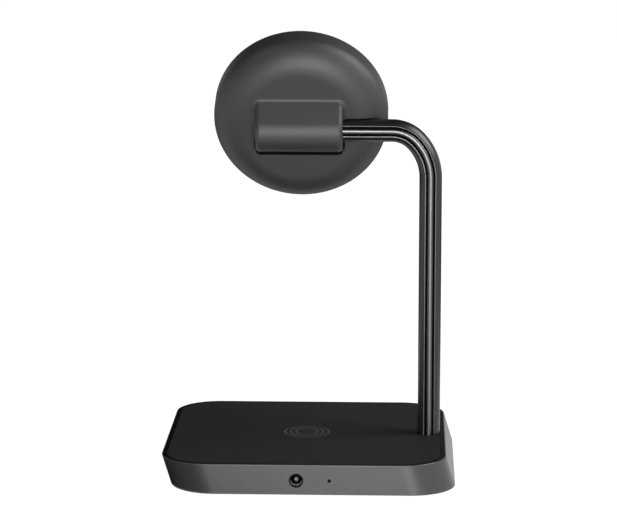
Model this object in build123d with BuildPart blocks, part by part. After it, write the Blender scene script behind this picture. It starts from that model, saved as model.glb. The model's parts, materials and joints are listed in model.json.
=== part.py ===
"""Two-in-one wireless charger: a low base with a charging plate, a bent tube arm and a tilting round head.

Frame: millimetres, +Z up, the phone side faces -Y and the power socket faces +Y.
The origin is under the middle of the base, on the surface that the charger stands on.
"""

from build123d import *
import os
from math import cos, radians, sin, tan

# Base casing: a rounded block whose walls lean, so its foot stands out under the arm
base_width = 100.0
base_depth = 95.2
base_corner = 16.1
base_lean = 3.3
casing_height = 10.7
casing_wall = 1.6
casing_edge_bevel = 0.25
foot_proud = 0.4

# Fits shared by pieces that meet
slip_fit = 0.1
seat_fit = 0.05
running_fit = 0.06
thread_fit = 0.02

# Top trim, plate and ring mark
rim_width = 0.35
trim_width = 1.55
trim_depth = 1.6
trim_flange = 0.4
trim_ledge = 1.8
mark_radii = (3.9, 5.95, 8.0)
mark_stroke = 0.45
mark_depth = 0.1

# Bottom cover, foot pad and their screws
cover_thickness = 1.5
foot_thickness = 0.9
foot_inset = 3.5
foot_corner = 13.5
cover_screw_inset = 9.1
cover_boss_radius = 4.8
cover_boss_height = 5.0
screw_shank = 1.0
screw_end_gap = 0.3
screw_head = 1.9
screw_head_height = 0.6

# Ballast plate
ballast_thickness = 3.0
ballast_corner = 5.0
ballast_lead_gap = 5.25
ballast_side_gap = 16.0
ballast_front_gap = 7.6
ballast_board_gap = 5.0

# Main board and what stands on it
board_width = 52.0
board_depth = 28.0
board_thickness = 1.0
board_standoff = 0.4
board_wall_gap = 1.0
board_lead_gap = 6.25
board_standoff_radius = 2.6
board_screw_inset = 3.4
inductor_size = 7.0
inductor_height = 3.0
inductor_corner = 1.2
inductor_inset = 9.0
component_setback = 4.0
chip_offset = 10.0
chip_size = 5.0
chip_height = 0.9
capacitor_length = 3.2
capacitor_width = 1.8
capacitor_height = 1.6
capacitor_pitch = 3.0
capacitor_count = 4
lead_connector_length = 5.0
lead_connector_width = 6.0
lead_connector_height = 2.2

# Power socket in the back wall and the status light beside it
jack_offset = 2.7
jack_height = 5.45
jack_width = 9.0
jack_length = 12.5
jack_body_height = 5.8
jack_nose_radius = 2.5
jack_nose_setback = 0.5
jack_bore_radius = 2.05
jack_back_wall = 2.2
jack_mouth_bevel = 0.3
jack_pin_radius = 0.85
jack_pin_setback = 2.1
jack_pin_dimple = 0.4
contact_width = 1.4
contact_thickness = 0.3
contact_length = 6.5
light_pitch = 11.5
light_radius = 0.55
light_setback = 0.3
light_collar_radius = 1.2
light_collar_length = 1.0
led_width = 2.2
led_depth = 1.6
led_height = 3.2

# Charging coil under the plate
pad_coil_radius = 21.5
pad_coil_bore = 8.0
pad_coil_thickness = 1.1
pad_ferrite_thickness = 0.9
pad_coil_gap = 0.2
carrier_floor = 0.9
carrier_wall = 1.2
carrier_post_radius = 2.2
carrier_post_circle = 15.0
carrier_post_angles = (210, 270, 330)

# Arm: a bent tube with a flat-bottomed groove down its back and a beaded strip in the groove
tube_radius = 4.03
tube_bore = 2.6
stem_inset = 5.9
arm_height = 121.4
arm_reach = 46.5
bend_low_radius = 18.9
bend_high_radius = 11.7
bend_split = 45.0
groove_width = 3.7
groove_floor = 3.13
groove_bevel = 0.12
strip_thickness = 0.3
bead_radius = 1.0
bead_centre = 3.0
tube_hole_gap = 0.25
tube_notch_reach = 3.2

# Socket block that holds the tube's foot
socket_depth = 20.0
socket_right = 8.5
socket_headroom = 0.5
socket_wall_gap = 0.15
socket_corner = 1.5
socket_screw_spread = 7.2
socket_screw_offset = 4.5
set_screw_radius = 1.25
set_screw_length = 5.0
set_screw_hex = 0.65
lead_window = 3.0
lead_window_height = 4.4

# Lead from the base to the head
lead_radius = 0.9
lead_lane = 11.2
lead_bend = 3.0
lead_turn = 4.0

# Head: a domed round shell, tilted back about the arm's axis
head_lean = 21.0
lean_upright = 0.0
lean_flattest = 45.0
head_radius = 31.2
head_rise = 0.75
head_setback = 0.3
dome_sweep = 12.5
dome_turn = 50.0
dome_edge = 6.1
dome_skirt = 0.8
cover_wall = 1.8
rim_depth = 6.0
rim_wall = 1.6
rim_fillet = 1.0
spigot_wall = 1.2
spigot_length = 1.6
ledge_width = 2.2
ledge_thickness = 1.0
pad_thickness = 1.2
pad_proud = 0.3
pad_gap = 0.2
pad_edge = 0.3

# Hinge block on the back of the head, with the pocket and channel for the arm
block_radius = 8.1
block_ramp = 43.4
block_left = 15.2
block_right = 15.8
block_wall = 1.8
block_edge = 1.5
block_blend = 1.9
pocket_radius = 6.1
channel_gap = 0.4
channel_wall = 1.4

# Hinge: a hollow shaft in the tube's end, and a bracket that grips it
tube_end = 11.0
shaft_plug = 6.0
shaft_flange_radius = 5.6
shaft_flange = 1.4
journal_radius = 3.0
journal_length = 20.1
shaft_bore = 1.4
stop_pin_radius = 0.6
stop_pin_circle = 4.75
stop_slack = 1.0
stop_notch_radius = 4.05
washer_thickness = 0.6
washer_radius = 3.9
spring_thickness = 0.5
spring_rise = 0.35
spring_radius = 4.8
nut_across = 8.4
nut_thickness = 2.8
washer_gap = 0.05
cheek_thickness = 1.2
cheek_radius = 5.3
cheek_pitch = 12.3
bracket_level = 6.2
bracket_plate = 1.0
bracket_reach = 13.0
bracket_corner = 2.0
boss_radius = 2.3
bracket_screw_x = 3.6
bracket_screw_y = 10.2

# Inside the head, from the board to the face
head_board_radius = 24.0
head_board_thickness = 1.0
head_board_lift = 1.4
head_boss_circle = 21.0
head_boss_angles = (30, 150, 270)
head_chip_size = 6.0
head_chip_height = 1.0
head_chip_x = 12.0
head_chip_spread = 12.5
head_connector_size = 5.0
head_connector_height = 1.8
lead_tail_gap = 0.3
lead_tail_bend = 2.0
shield_radius = 26.0
shield_thickness = 0.8
frame_floor = 1.0
frame_wall = 0.8
frame_flange = 1.1
magnet_outer = 26.4
magnet_inner = 22.6
magnet_thickness = 1.7
magnet_count = 16
magnet_gap = 0.4
yoke_thickness = 0.4
head_coil_radius = 21.4
head_coil_bore = 10.0
head_coil_thickness = 1.2
head_ferrite_thickness = 0.9

# Levels worked out from the sizes above
casing_bottom = foot_proud
casing_top = casing_bottom + casing_height
cover_top = casing_bottom + cover_thickness
trim_bottom = casing_top - trim_depth
plate_bottom = trim_bottom + trim_flange
board_bottom = cover_top + board_standoff
board_top = board_bottom + board_thickness
socket_top = trim_bottom - socket_headroom
lead_level = board_top + lead_connector_height / 2
back_wall = base_depth / 2

lean_direction = Vector(base_lean, 0, casing_height).normalized()


def lean_at(height):
    """How far the casing's outline has moved along X at a height."""
    return base_lean * ((height - casing_bottom) / casing_height - 0.5)


def leaning_block(inset, low, high, mode=Mode.ADD):
    """The casing's outline, drawn in by an inset and carried up along its lean."""
    with BuildSketch(Plane.XY.offset(low)) as outline:
        with Locations((lean_at(low), 0)):
            RectangleRounded(base_width - 2 * inset, base_depth - 2 * inset, base_corner - inset)
    extrude(outline.sketch, amount=(high - low) / lean_direction.Z, dir=lean_direction, mode=mode)


def post(plane, radius, height, places, mode=Mode.ADD):
    """Round posts, or holes, that stand on a plane."""
    with BuildSketch(plane) as outline:
        with Locations(*places):
            Circle(radius)
    extrude(outline.sketch, amount=height, mode=mode)


def block(plane, width, depth, height, places=((0, 0),), mode=Mode.ADD):
    """Square-cornered blocks that stand on a plane."""
    with BuildSketch(plane) as outline:
        with Locations(*places):
            Rectangle(width, depth)
    extrude(outline.sketch, amount=height, mode=mode)


def ring(plane, outer, inner, height, mode=Mode.ADD):
    """A flat ring that stands on a plane."""
    with BuildSketch(plane) as outline:
        Circle(outer)
        Circle(inner, mode=Mode.SUBTRACT)
    extrude(outline.sketch, amount=height, mode=mode)


def screw(head_plane, head_radius_, shank_length, places):
    """Screws seen from their heads: the plane is under the head and faces away from the shank."""
    post(head_plane, head_radius_, screw_head_height, places)
    post(head_plane, screw_shank, -shank_length, places)
    with BuildSketch(head_plane.offset(screw_head_height)) as socket:
        with Locations(*places):
            RegularPolygon(screw_shank * 0.7, 6)
    extrude(socket.sketch, amount=-screw_head_height / 2, mode=Mode.SUBTRACT)


def save(piece, name):
    """Label a finished piece and write it."""
    piece.part.label = name
    export_step(piece.part, f"parts/{name}.step")
    print(f"{name}: {len(piece.part.solids())} solid(s), {piece.part.volume:.1f} mm3")


os.makedirs("parts", exist_ok=True)

# Places in the base
stem_x = -base_width / 2 + lean_at(casing_top) + stem_inset
pad_x = lean_at(casing_top)
corner_x = base_width / 2 - cover_screw_inset
corner_y = base_depth / 2 - cover_screw_inset
cover_screws_at = [
    (sx * corner_x + lean_at(cover_top), sy * corner_y) for sx in (-1, 1) for sy in (-1, 1)
]
socket_left_x = -base_width / 2 + casing_wall + lean_at(socket_top) + socket_wall_gap
socket_right_x = stem_x + socket_right
socket_screws_at = [(stem_x + socket_screw_offset, sy * socket_screw_spread) for sy in (-1, 1)]
lead_lane_x = stem_x + lead_lane
board_left = lead_lane_x + board_lead_gap
board_x = board_left + board_width / 2
board_y = back_wall - casing_wall - board_wall_gap - board_depth / 2
board_front = board_y - board_depth / 2
board_screws_at = [
    (board_x + sx * (board_width / 2 - board_screw_inset), board_front + board_screw_inset) for sx in (-1, 1)
]
jack_x = board_x + jack_offset
light_x = jack_x - light_pitch
ballast_left = lead_lane_x + ballast_lead_gap
ballast_right = base_width / 2 - ballast_side_gap
ballast_front = -back_wall + ballast_front_gap
ballast_back = board_front - ballast_board_gap
lead_connector_x = board_left + lead_connector_length / 2
lead_connector_y = board_y

# Base casing
with BuildPart() as base_casing:
    leaning_block(0, casing_bottom, casing_top)
    chamfer(base_casing.faces().sort_by(Axis.Z)[-1].edges(), casing_edge_bevel)
    leaning_block(casing_wall, casing_bottom, trim_bottom, Mode.SUBTRACT)
    leaning_block(rim_width, trim_bottom, casing_top, Mode.SUBTRACT)
    with BuildSketch(Plane.XY.offset(cover_top)):
        with Locations(*cover_screws_at):
            Circle(cover_boss_radius)
    extrude(amount=cover_boss_height / lean_direction.Z, dir=lean_direction)
    post(Plane.XY.offset(cover_top), screw_shank + thread_fit, cover_boss_height - 1, cover_screws_at,
         Mode.SUBTRACT)
    wall_face = Plane(origin=(0, back_wall + 1, 0), x_dir=(1, 0, 0), z_dir=(0, -1, 0))
    post(wall_face, jack_nose_radius + seat_fit, casing_wall + 2, [(jack_x, jack_height)], Mode.SUBTRACT)
    post(wall_face, light_radius + seat_fit, casing_wall + 2, [(light_x, jack_height)], Mode.SUBTRACT)
save(base_casing, "base_casing")

# Trim band that closes the casing's top and carries the plate
plate_inset = rim_width + trim_width
tube_hole = [(stem_x, 0)]
with BuildPart() as top_trim:
    leaning_block(rim_width + seat_fit, trim_bottom, casing_top)
    leaning_block(plate_inset + trim_ledge, trim_bottom, plate_bottom, Mode.SUBTRACT)
    leaning_block(plate_inset, plate_bottom, casing_top, Mode.SUBTRACT)
    post(Plane.XY.offset(trim_bottom), tube_radius + tube_hole_gap, trim_depth, tube_hole, Mode.SUBTRACT)
save(top_trim, "top_trim")

with BuildPart() as top_plate:
    leaning_block(plate_inset + seat_fit, plate_bottom, casing_top)
    hole_radius = tube_radius + tube_hole_gap
    notch_width = 2 * (hole_radius**2 - tube_notch_reach**2) ** 0.5
    notch_at = [(stem_x - tube_notch_reach - hole_radius / 2, 0)]
    post(Plane.XY.offset(plate_bottom), hole_radius, trim_depth, tube_hole, Mode.SUBTRACT)
    block(Plane.XY.offset(plate_bottom), hole_radius, notch_width, trim_depth, notch_at, Mode.SUBTRACT)
    for radius in mark_radii:
        with BuildSketch(Plane.XY.offset(casing_top)):
            with Locations((pad_x, 0)):
                Circle(radius + mark_stroke / 2)
                Circle(radius - mark_stroke / 2, mode=Mode.SUBTRACT)
        extrude(amount=-mark_depth, mode=Mode.SUBTRACT)
save(top_plate, "top_plate")

with BuildPart() as ring_mark:
    for radius in mark_radii:
        with BuildSketch(Plane.XY.offset(casing_top)):
            with Locations((pad_x, 0)):
                Circle(radius + mark_stroke / 2)
                Circle(radius - mark_stroke / 2, mode=Mode.SUBTRACT)
        extrude(amount=-mark_depth)
save(ring_mark, "ring_mark")

# Bottom cover with its recess for the foot pad, standoffs for the board and screw seats
foot_recess = foot_thickness - foot_proud
recess_floor = casing_bottom + foot_recess
foot_width = base_width - 2 * foot_inset
foot_depth = base_depth - 2 * foot_inset
foot_x = lean_at(casing_bottom)
with BuildPart() as bottom_cover:
    leaning_block(casing_wall + slip_fit, casing_bottom, cover_top)
    with BuildSketch(Plane.XY.offset(casing_bottom)):
        with Locations((foot_x, 0)):
            RectangleRounded(foot_width + 2 * slip_fit, foot_depth + 2 * slip_fit, foot_corner)
    extrude(amount=foot_recess, mode=Mode.SUBTRACT)
    post(Plane.XY.offset(cover_top), board_standoff_radius, board_standoff, board_screws_at)
    through = cover_screws_at + socket_screws_at
    post(Plane.XY.offset(casing_bottom), screw_shank + slip_fit, cover_thickness, through, Mode.SUBTRACT)
    post(
        Plane.XY.offset(recess_floor),
        screw_head + slip_fit,
        screw_head_height,
        through,
        Mode.SUBTRACT,
    )
    post(Plane.XY.offset(recess_floor), screw_shank + thread_fit, cover_top - recess_floor + board_standoff,
         board_screws_at, Mode.SUBTRACT)
save(bottom_cover, "bottom_cover")

# The screws' heads sink into the recess floor, under the foot pad
head_seat = Plane(origin=(0, 0, recess_floor + screw_head_height), x_dir=(1, 0, 0), z_dir=(0, 0, -1))
with BuildPart() as cover_screws:
    seat_height = recess_floor + screw_head_height
    cover_shank = cover_top + cover_boss_height - 1 - screw_end_gap - seat_height
    screw(head_seat, screw_head, cover_shank, [(x, -y) for x, y in cover_screws_at])
save(cover_screws, "cover_screws")

with BuildPart() as foot_pad:
    with BuildSketch():
        with Locations((foot_x, 0)):
            RectangleRounded(foot_width, foot_depth, foot_corner)
    extrude(amount=foot_thickness)
save(foot_pad, "foot_pad")

with BuildPart() as ballast_plate:
    with BuildSketch(Plane.XY.offset(cover_top)):
        with Locations(((ballast_left + ballast_right) / 2, (ballast_front + ballast_back) / 2)):
            RectangleRounded(ballast_right - ballast_left, ballast_back - ballast_front, ballast_corner)
    extrude(amount=ballast_thickness)
save(ballast_plate, "ballast_plate")

# Main board, notched round the power socket
jack_back_y = back_wall - casing_wall - jack_length
with BuildPart() as main_board:
    block(Plane.XY.offset(board_bottom), board_width, board_depth, board_thickness, [(board_x, board_y)])
    notch_depth = board_y + board_depth / 2 - jack_back_y + slip_fit
    notch_y = board_y + board_depth / 2 - notch_depth / 2
    block(
        Plane.XY.offset(board_bottom),
        jack_width - 2 * casing_wall + 2 * slip_fit,
        notch_depth,
        board_thickness,
        [(jack_x, notch_y)],
        Mode.SUBTRACT,
    )
    post(Plane.XY.offset(board_bottom), screw_shank + slip_fit, board_thickness, board_screws_at,
         Mode.SUBTRACT)
save(main_board, "main_board")

with BuildPart() as board_screws:
    board_shank = board_top - recess_floor - screw_end_gap
    screw(Plane.XY.offset(board_top), screw_head, board_shank, board_screws_at)
save(board_screws, "board_screws")

component_row = board_y - component_setback
with BuildPart() as power_inductor:
    inductor_at = (board_left + board_width - inductor_inset, component_row + inductor_inset)
    with BuildSketch(Plane.XY.offset(board_top)):
        with Locations(inductor_at):
            RectangleRounded(inductor_size, inductor_size, inductor_corner)
    extrude(amount=inductor_height)
    chamfer(power_inductor.faces().sort_by(Axis.Z)[-1].edges(), 0.3)
save(power_inductor, "power_inductor")

with BuildPart() as controller_chip:
    chip_at = [(board_x - chip_offset, component_row)]
    block(Plane.XY.offset(board_top), chip_size, chip_size, chip_height, chip_at)
    chamfer(controller_chip.faces().sort_by(Axis.Z)[-1].edges(), 0.2)
save(controller_chip, "controller_chip")

with BuildPart() as capacitors:
    capacitors_at = [(board_x + i * capacitor_pitch, component_row) for i in range(capacitor_count)]
    block(Plane.XY.offset(board_top), capacitor_width, capacitor_length, capacitor_height, capacitors_at)
save(capacitors, "capacitors")

with BuildPart() as lead_connector:
    block(
        Plane.XY.offset(board_top),
        lead_connector_length,
        lead_connector_width,
        lead_connector_height,
        [(lead_connector_x, lead_connector_y)],
    )
save(lead_connector, "lead_connector")

# Power socket: a moulded body with ears on the board, a nose in the wall, a pin and a leaf contact
jack_face = Plane(origin=(jack_x, jack_back_y, jack_height), x_dir=(-1, 0, 0), z_dir=(0, 1, 0))
nose_length = casing_wall - jack_nose_setback
contact_level = -jack_bore_radius
with BuildPart() as jack_body:
    block(jack_face, jack_width - 2 * casing_wall, jack_body_height, jack_length)
    ears = Plane.XY.offset(board_top)
    ear_top = jack_height + jack_body_height / 2 - board_top
    block(ears, jack_width, jack_length, ear_top, [(jack_x, jack_back_y + jack_length / 2)])
    post(jack_face.offset(jack_length), jack_nose_radius, nose_length, [(0, 0)])
    bore_depth = jack_length + nose_length - jack_back_wall
    post(jack_face.offset(jack_back_wall), jack_bore_radius, bore_depth, [(0, 0)], Mode.SUBTRACT)
    post(jack_face, jack_pin_radius, jack_back_wall, [(0, 0)], Mode.SUBTRACT)
    slot_centre = contact_level + contact_thickness / 2 - slip_fit
    block(jack_face.offset(jack_back_wall), contact_width + 2 * slip_fit, contact_thickness + 2 * slip_fit,
          contact_length, [(0, slot_centre)], Mode.SUBTRACT)
    mouth = jack_body.faces().sort_by(Axis.Y)[-1].inner_wires()[0].edges()
    chamfer(mouth, jack_mouth_bevel)
save(jack_body, "jack_body")

with BuildPart() as jack_pin:
    pin_length = jack_length + casing_wall - jack_pin_setback
    post(jack_face, jack_pin_radius, pin_length, [(0, 0)])
    chamfer(jack_pin.faces().sort_by(Axis.Y)[-1].edges(), jack_pin_radius * 0.3)
    post(jack_face.offset(pin_length), jack_pin_radius * 0.4, -jack_pin_dimple, [(0, 0)], Mode.SUBTRACT)
save(jack_pin, "jack_pin")

with BuildPart() as jack_contact:
    block(jack_face.offset(jack_back_wall), contact_width, contact_thickness, contact_length,
          [(0, slot_centre - slip_fit)])
save(jack_contact, "jack_contact")

# Status light: a side-firing lamp on the board and a clear pipe through the wall
light_face = Plane(origin=(light_x, back_wall, jack_height), x_dir=(-1, 0, 0), z_dir=(0, 1, 0))
pipe_start = casing_wall + light_collar_length
with BuildPart() as light_pipe:
    post(light_face.offset(-pipe_start), light_radius, pipe_start - light_setback, [(0, 0)])
    post(light_face.offset(-pipe_start), light_collar_radius, light_collar_length, [(0, 0)])
save(light_pipe, "light_pipe")

with BuildPart() as status_led:
    led_y = back_wall - pipe_start - slip_fit - led_depth / 2
    block(Plane.XY.offset(board_top), led_width, led_depth, led_height, [(light_x, led_y)])
save(status_led, "status_led")

# Charging coil, its ferrite and the carrier that holds them up under the plate
coil_top = plate_bottom - pad_coil_gap
coil_bottom = coil_top - pad_coil_thickness
ferrite_bottom = coil_bottom - pad_ferrite_thickness
carrier_bottom = ferrite_bottom - carrier_floor
pad_plane = Plane(origin=(pad_x, 0, 0))
with BuildPart() as pad_coil:
    ring(pad_plane.offset(coil_bottom), pad_coil_radius, pad_coil_bore, pad_coil_thickness)
save(pad_coil, "pad_coil")

with BuildPart() as pad_ferrite:
    post(pad_plane.offset(ferrite_bottom), pad_coil_radius, pad_ferrite_thickness, [(0, 0)])
save(pad_ferrite, "pad_ferrite")

with BuildPart() as coil_carrier:
    carrier_radius = pad_coil_radius + slip_fit + carrier_wall
    post(pad_plane.offset(carrier_bottom), carrier_radius, coil_top - carrier_bottom, [(0, 0)])
    post(pad_plane.offset(ferrite_bottom), pad_coil_radius + slip_fit, coil_top - ferrite_bottom,
         [(0, 0)], Mode.SUBTRACT)
    posts_at = [
        (carrier_post_circle * cos(radians(a)), carrier_post_circle * sin(radians(a)))
        for a in carrier_post_angles
    ]
    ballast_top = cover_top + ballast_thickness
    post(pad_plane.offset(ballast_top), carrier_post_radius, carrier_bottom - ballast_top, posts_at)
save(coil_carrier, "coil_carrier")

# Socket block for the tube's foot, with a window for the lead
set_screw_level = (cover_top + lead_window_height + socket_top) / 2
with BuildPart() as stem_socket:
    socket_width = socket_right_x - socket_left_x
    socket_middle = (socket_right_x + socket_left_x) / 2
    with BuildSketch(Plane.XY.offset(cover_top)):
        with Locations((socket_middle, 0)):
            RectangleRounded(socket_width, socket_depth, socket_corner)
    extrude(amount=socket_top - cover_top)
    post(Plane.XY.offset(cover_top), tube_radius + seat_fit, socket_top - cover_top, tube_hole,
         Mode.SUBTRACT)
    block(Plane.XY.offset(cover_top), socket_right, lead_window, lead_window_height,
          [(stem_x + socket_right / 2, 0)], Mode.SUBTRACT)
    post(Plane.XY.offset(cover_top), screw_shank + thread_fit, cover_boss_height, socket_screws_at,
         Mode.SUBTRACT)
    for side in (-1, 1):
        drill = Plane(origin=(stem_x, 0, set_screw_level), x_dir=(1, 0, 0), z_dir=(0, side, 0))
        post(drill.offset(tube_bore), set_screw_radius + seat_fit, socket_depth / 2, [(0, 0)],
             Mode.SUBTRACT)
save(stem_socket, "stem_socket")

with BuildPart() as socket_screws:
    screw(head_seat, screw_head, cover_shank, [(x, -y) for x, y in socket_screws_at])
save(socket_screws, "socket_screws")

with BuildPart() as set_screws:
    for side, start in ((-1, tube_radius), (1, groove_floor)):
        drill = Plane(origin=(stem_x, 0, set_screw_level), x_dir=(1, 0, 0), z_dir=(0, side, 0))
        post(drill.offset(start), set_screw_radius, set_screw_length, [(0, 0)])
        with BuildSketch(drill.offset(start + set_screw_length)):
            RegularPolygon(set_screw_hex, 6)
        extrude(amount=-set_screw_length / 3, mode=Mode.SUBTRACT)
save(set_screws, "set_screws")

# Arm path: up from the base, round a bend that opens out towards the stem, then along to the head
bend_start = arm_height - (
    bend_low_radius * sin(radians(bend_split)) + bend_high_radius * (1 - sin(radians(bend_split)))
)
bend_width = (
    bend_low_radius * (1 - cos(radians(bend_split))) + bend_high_radius * cos(radians(bend_split))
)
head_x = stem_x + arm_reach
tube_end_x = head_x - tube_end
shaft_end = -tube_end + shaft_flange + journal_length


def arm_path(start_height, end_x):
    """The middle line of the arm between a height on the stem and a place on the horizontal run."""
    with BuildLine(Plane.XZ) as path:
        Line((stem_x, start_height), (stem_x, bend_start))
        low = JernArc((stem_x, bend_start), (0, 1), bend_low_radius, -bend_split)
        high = JernArc(low @ 1, low % 1, bend_high_radius, bend_split - 90)
        Line(high @ 1, (end_x, arm_height))
    return path.line


tube_foot = Plane(origin=(stem_x, 0, cover_top), x_dir=(1, 0, 0), z_dir=(0, 0, 1))
with BuildPart() as arm_tube:
    with BuildSketch(tube_foot):
        Circle(tube_radius)
        Circle(tube_bore, mode=Mode.SUBTRACT)
        groove_rise = tube_radius - groove_floor + 1
        with Locations((0, groove_floor + groove_rise / 2)):
            Rectangle(groove_width, groove_rise, mode=Mode.SUBTRACT)
    sweep(path=arm_path(cover_top, tube_end_x))
    block(Plane.XY.offset(cover_top), tube_radius * 2, lead_window, lead_window_height,
          [(stem_x + tube_radius, 0)], Mode.SUBTRACT)
save(arm_tube, "arm_tube")

strip_foot = Plane(origin=(stem_x, 0, trim_bottom), x_dir=(1, 0, 0), z_dir=(0, 0, 1))
with BuildPart() as arm_strip:
    with BuildSketch(strip_foot):
        with Locations((0, bead_centre)):
            Circle(bead_radius)
        with Locations((0, groove_floor - bead_radius)):
            Rectangle(4 * bead_radius, 2 * bead_radius, mode=Mode.SUBTRACT)
        with Locations((0, groove_floor + strip_thickness / 2)):
            Rectangle(groove_width - slip_fit, strip_thickness)
    sweep(path=arm_path(trim_bottom, tube_end_x))
save(arm_strip, "arm_strip")

# Lead from the board, along the base and up through the arm, ending inside the hinge shaft
with BuildLine() as lead_line:
    Line((board_left, lead_connector_y, lead_level), (lead_lane_x + lead_turn, lead_connector_y, lead_level))
    TangentArc(
        (lead_lane_x + lead_turn, lead_connector_y, lead_level),
        (lead_lane_x, lead_connector_y - lead_turn, lead_level),
        tangent=(-1, 0, 0),
    )
    Line((lead_lane_x, lead_connector_y - lead_turn, lead_level), (lead_lane_x, lead_turn, lead_level))
    TangentArc(
        (lead_lane_x, lead_turn, lead_level), (lead_lane_x - lead_turn, 0, lead_level), tangent=(0, -1, 0)
    )
    Line((lead_lane_x - lead_turn, 0, lead_level), (stem_x + lead_bend, 0, lead_level))
    TangentArc((stem_x + lead_bend, 0, lead_level), (stem_x, 0, lead_level + lead_bend), tangent=(-1, 0, 0))
    add(arm_path(lead_level + lead_bend, head_x + shaft_end - lead_tail_gap))

lead_start = Plane(origin=(board_left, lead_connector_y, lead_level), z_dir=(-1, 0, 0))
with BuildPart() as arm_lead:
    with BuildSketch(lead_start):
        Circle(lead_radius)
    sweep(path=lead_line.line)
save(arm_lead, "arm_lead")

# Head frame: local x as the row's, y up the disc, z towards the phone, origin on the hinge axis
head = Plane(
    origin=(head_x, 0, arm_height),
    x_dir=(1, 0, 0),
    z_dir=(0, -cos(radians(head_lean)), sin(radians(head_lean))),
)
disc = Plane(origin=head.from_local_coords((0, head_rise, head_setback)), x_dir=head.x_dir, z_dir=head.z_dir)
disc_axis = Axis(disc.origin, disc.z_dir)
disc_profile = Plane(origin=disc.origin, x_dir=disc.x_dir, z_dir=-disc.y_dir)
hinge = Plane(origin=head.origin, x_dir=head.y_dir, z_dir=head.x_dir)

dome_middle = dome_sweep - (dome_sweep - dome_edge) * cos(radians(dome_turn))
flat_radius = head_radius - dome_edge - (dome_sweep - dome_edge) * sin(radians(dome_turn))
seam = dome_middle + dome_skirt
face = seam + rim_depth
spigot_outer = head_radius - rim_wall - slip_fit
spigot_inner = spigot_outer - spigot_wall


def dome(wall, depth):
    """Revolve the domed back, drawn in by a wall and closed off at a depth."""
    sweep_radius = dome_sweep - wall
    edge_radius = dome_edge - wall
    edge_x = head_radius - dome_edge
    with BuildSketch(disc_profile) as section:
        with BuildLine():
            Line((0, depth), (0, wall))
            Line((0, wall), (flat_radius, wall))
            CenterArc((flat_radius, dome_sweep), sweep_radius, 270, dome_turn)
            CenterArc((edge_x, dome_middle), edge_radius, 270 + dome_turn, 90 - dome_turn)
            Line((head_radius - wall, dome_middle), (head_radius - wall, depth))
            Line((head_radius - wall, depth), (0, depth))
        make_face()
    revolve(section.sketch, axis=disc_axis)


def hinge_block(radius, left, right, depth):
    """The hinge block: a half-round nose over the hinge axis with a flat ramp up to the disc."""
    ramp = radians(block_ramp)
    ramp_end = (radius / sin(ramp) + depth / tan(ramp), depth)
    with BuildSketch(hinge.offset(left)) as section:
        with BuildLine():
            Line((-radius, depth), (-radius, 0))
            nose = CenterArc((0, 0), radius, 180, 90 + block_ramp)
            Line(nose @ 1, ramp_end)
            Line(ramp_end, (-radius, depth))
        make_face()
    extrude(section.sketch, amount=right - left)


def along_hinge(radius, left, right, mode=Mode.ADD):
    """A cylinder on the hinge axis between two places along it."""
    post(hinge.offset(left), radius, right - left, [(0, 0)], mode)


def on_disc(points):
    """Places in the head frame, as places on the disc's own plane."""
    return [(x, y - head_rise) for x, y in points]


# Space inside the back cover: the dome's inside less the arm's channel, with the hinge pocket
pocket_left = -block_left + block_wall
pocket_right = block_right - block_wall
channel_outer = tube_radius + channel_gap + channel_wall
with BuildPart() as head_space:
    dome(cover_wall, seam)
    along_hinge(channel_outer, -head_radius, pocket_left, Mode.SUBTRACT)
    along_hinge(pocket_radius, pocket_left, pocket_right)
    block(hinge.offset(pocket_left), 2 * pocket_radius, seam, pocket_right - pocket_left, [(0, seam / 2)])

# Hinge stack, as places along the hinge axis
flange_face = -tube_end + shaft_flange
near_cheek = flange_face + washer_thickness + washer_gap
far_cheek = near_cheek + cheek_pitch
far_washer = far_cheek + cheek_thickness + washer_gap
spring_left = far_washer + washer_thickness
nut_left = spring_left + 2 * (spring_thickness + spring_rise)
bracket_middle = (near_cheek + far_cheek + cheek_thickness) / 2
bracket_width = far_cheek + cheek_thickness - near_cheek
bracket_screws_at = [
    (bracket_middle + sx * bracket_screw_x, sy * bracket_screw_y) for sx in (-1, 1) for sy in (-1, 1)
]
head_board_level = seam - head_board_lift
head_bosses_at = [
    (head_boss_circle * cos(radians(a)), head_boss_circle * sin(radians(a))) for a in head_boss_angles
]
bracket_seat = bracket_level - head_setback
boss_root = cover_wall / 2

with BuildPart() as back_cover:
    dome(0, seam)
    hinge_block(block_radius, -block_left, block_right, cover_wall)
    nose_ends = [
        e
        for e in back_cover.edges()
        if hinge.to_local_coords(e.center()).Y < -0.5
        and min(
            abs(hinge.to_local_coords(e.center()).Z + block_left),
            abs(hinge.to_local_coords(e.center()).Z - block_right),
        )
        < 0.01
    ]
    fillet(nose_ends, block_edge)
    blend_edges = [
        e
        for e in back_cover.edges()
        if abs(disc.to_local_coords(e.center()).Z) < 0.01 and e.length < head_radius
    ]
    fillet(blend_edges, block_blend)
    add(head_space.part, mode=Mode.SUBTRACT)
    ring(disc.offset(seam - spigot_length), spigot_outer, spigot_inner, 2 * spigot_length)
    along_hinge(tube_radius + channel_gap, -head_radius, pocket_left, Mode.SUBTRACT)
    post(disc.offset(boss_root), boss_radius, bracket_seat - boss_root, on_disc(bracket_screws_at))
    post(disc.offset(boss_root), boss_radius, head_board_level - boss_root, head_bosses_at)
    post(disc.offset(cover_wall + head_setback), screw_shank + thread_fit, seam, on_disc(bracket_screws_at),
         Mode.SUBTRACT)
    post(disc.offset(cover_wall + 2), screw_shank + thread_fit, seam, head_bosses_at, Mode.SUBTRACT)
save(back_cover, "back_cover")

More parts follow.
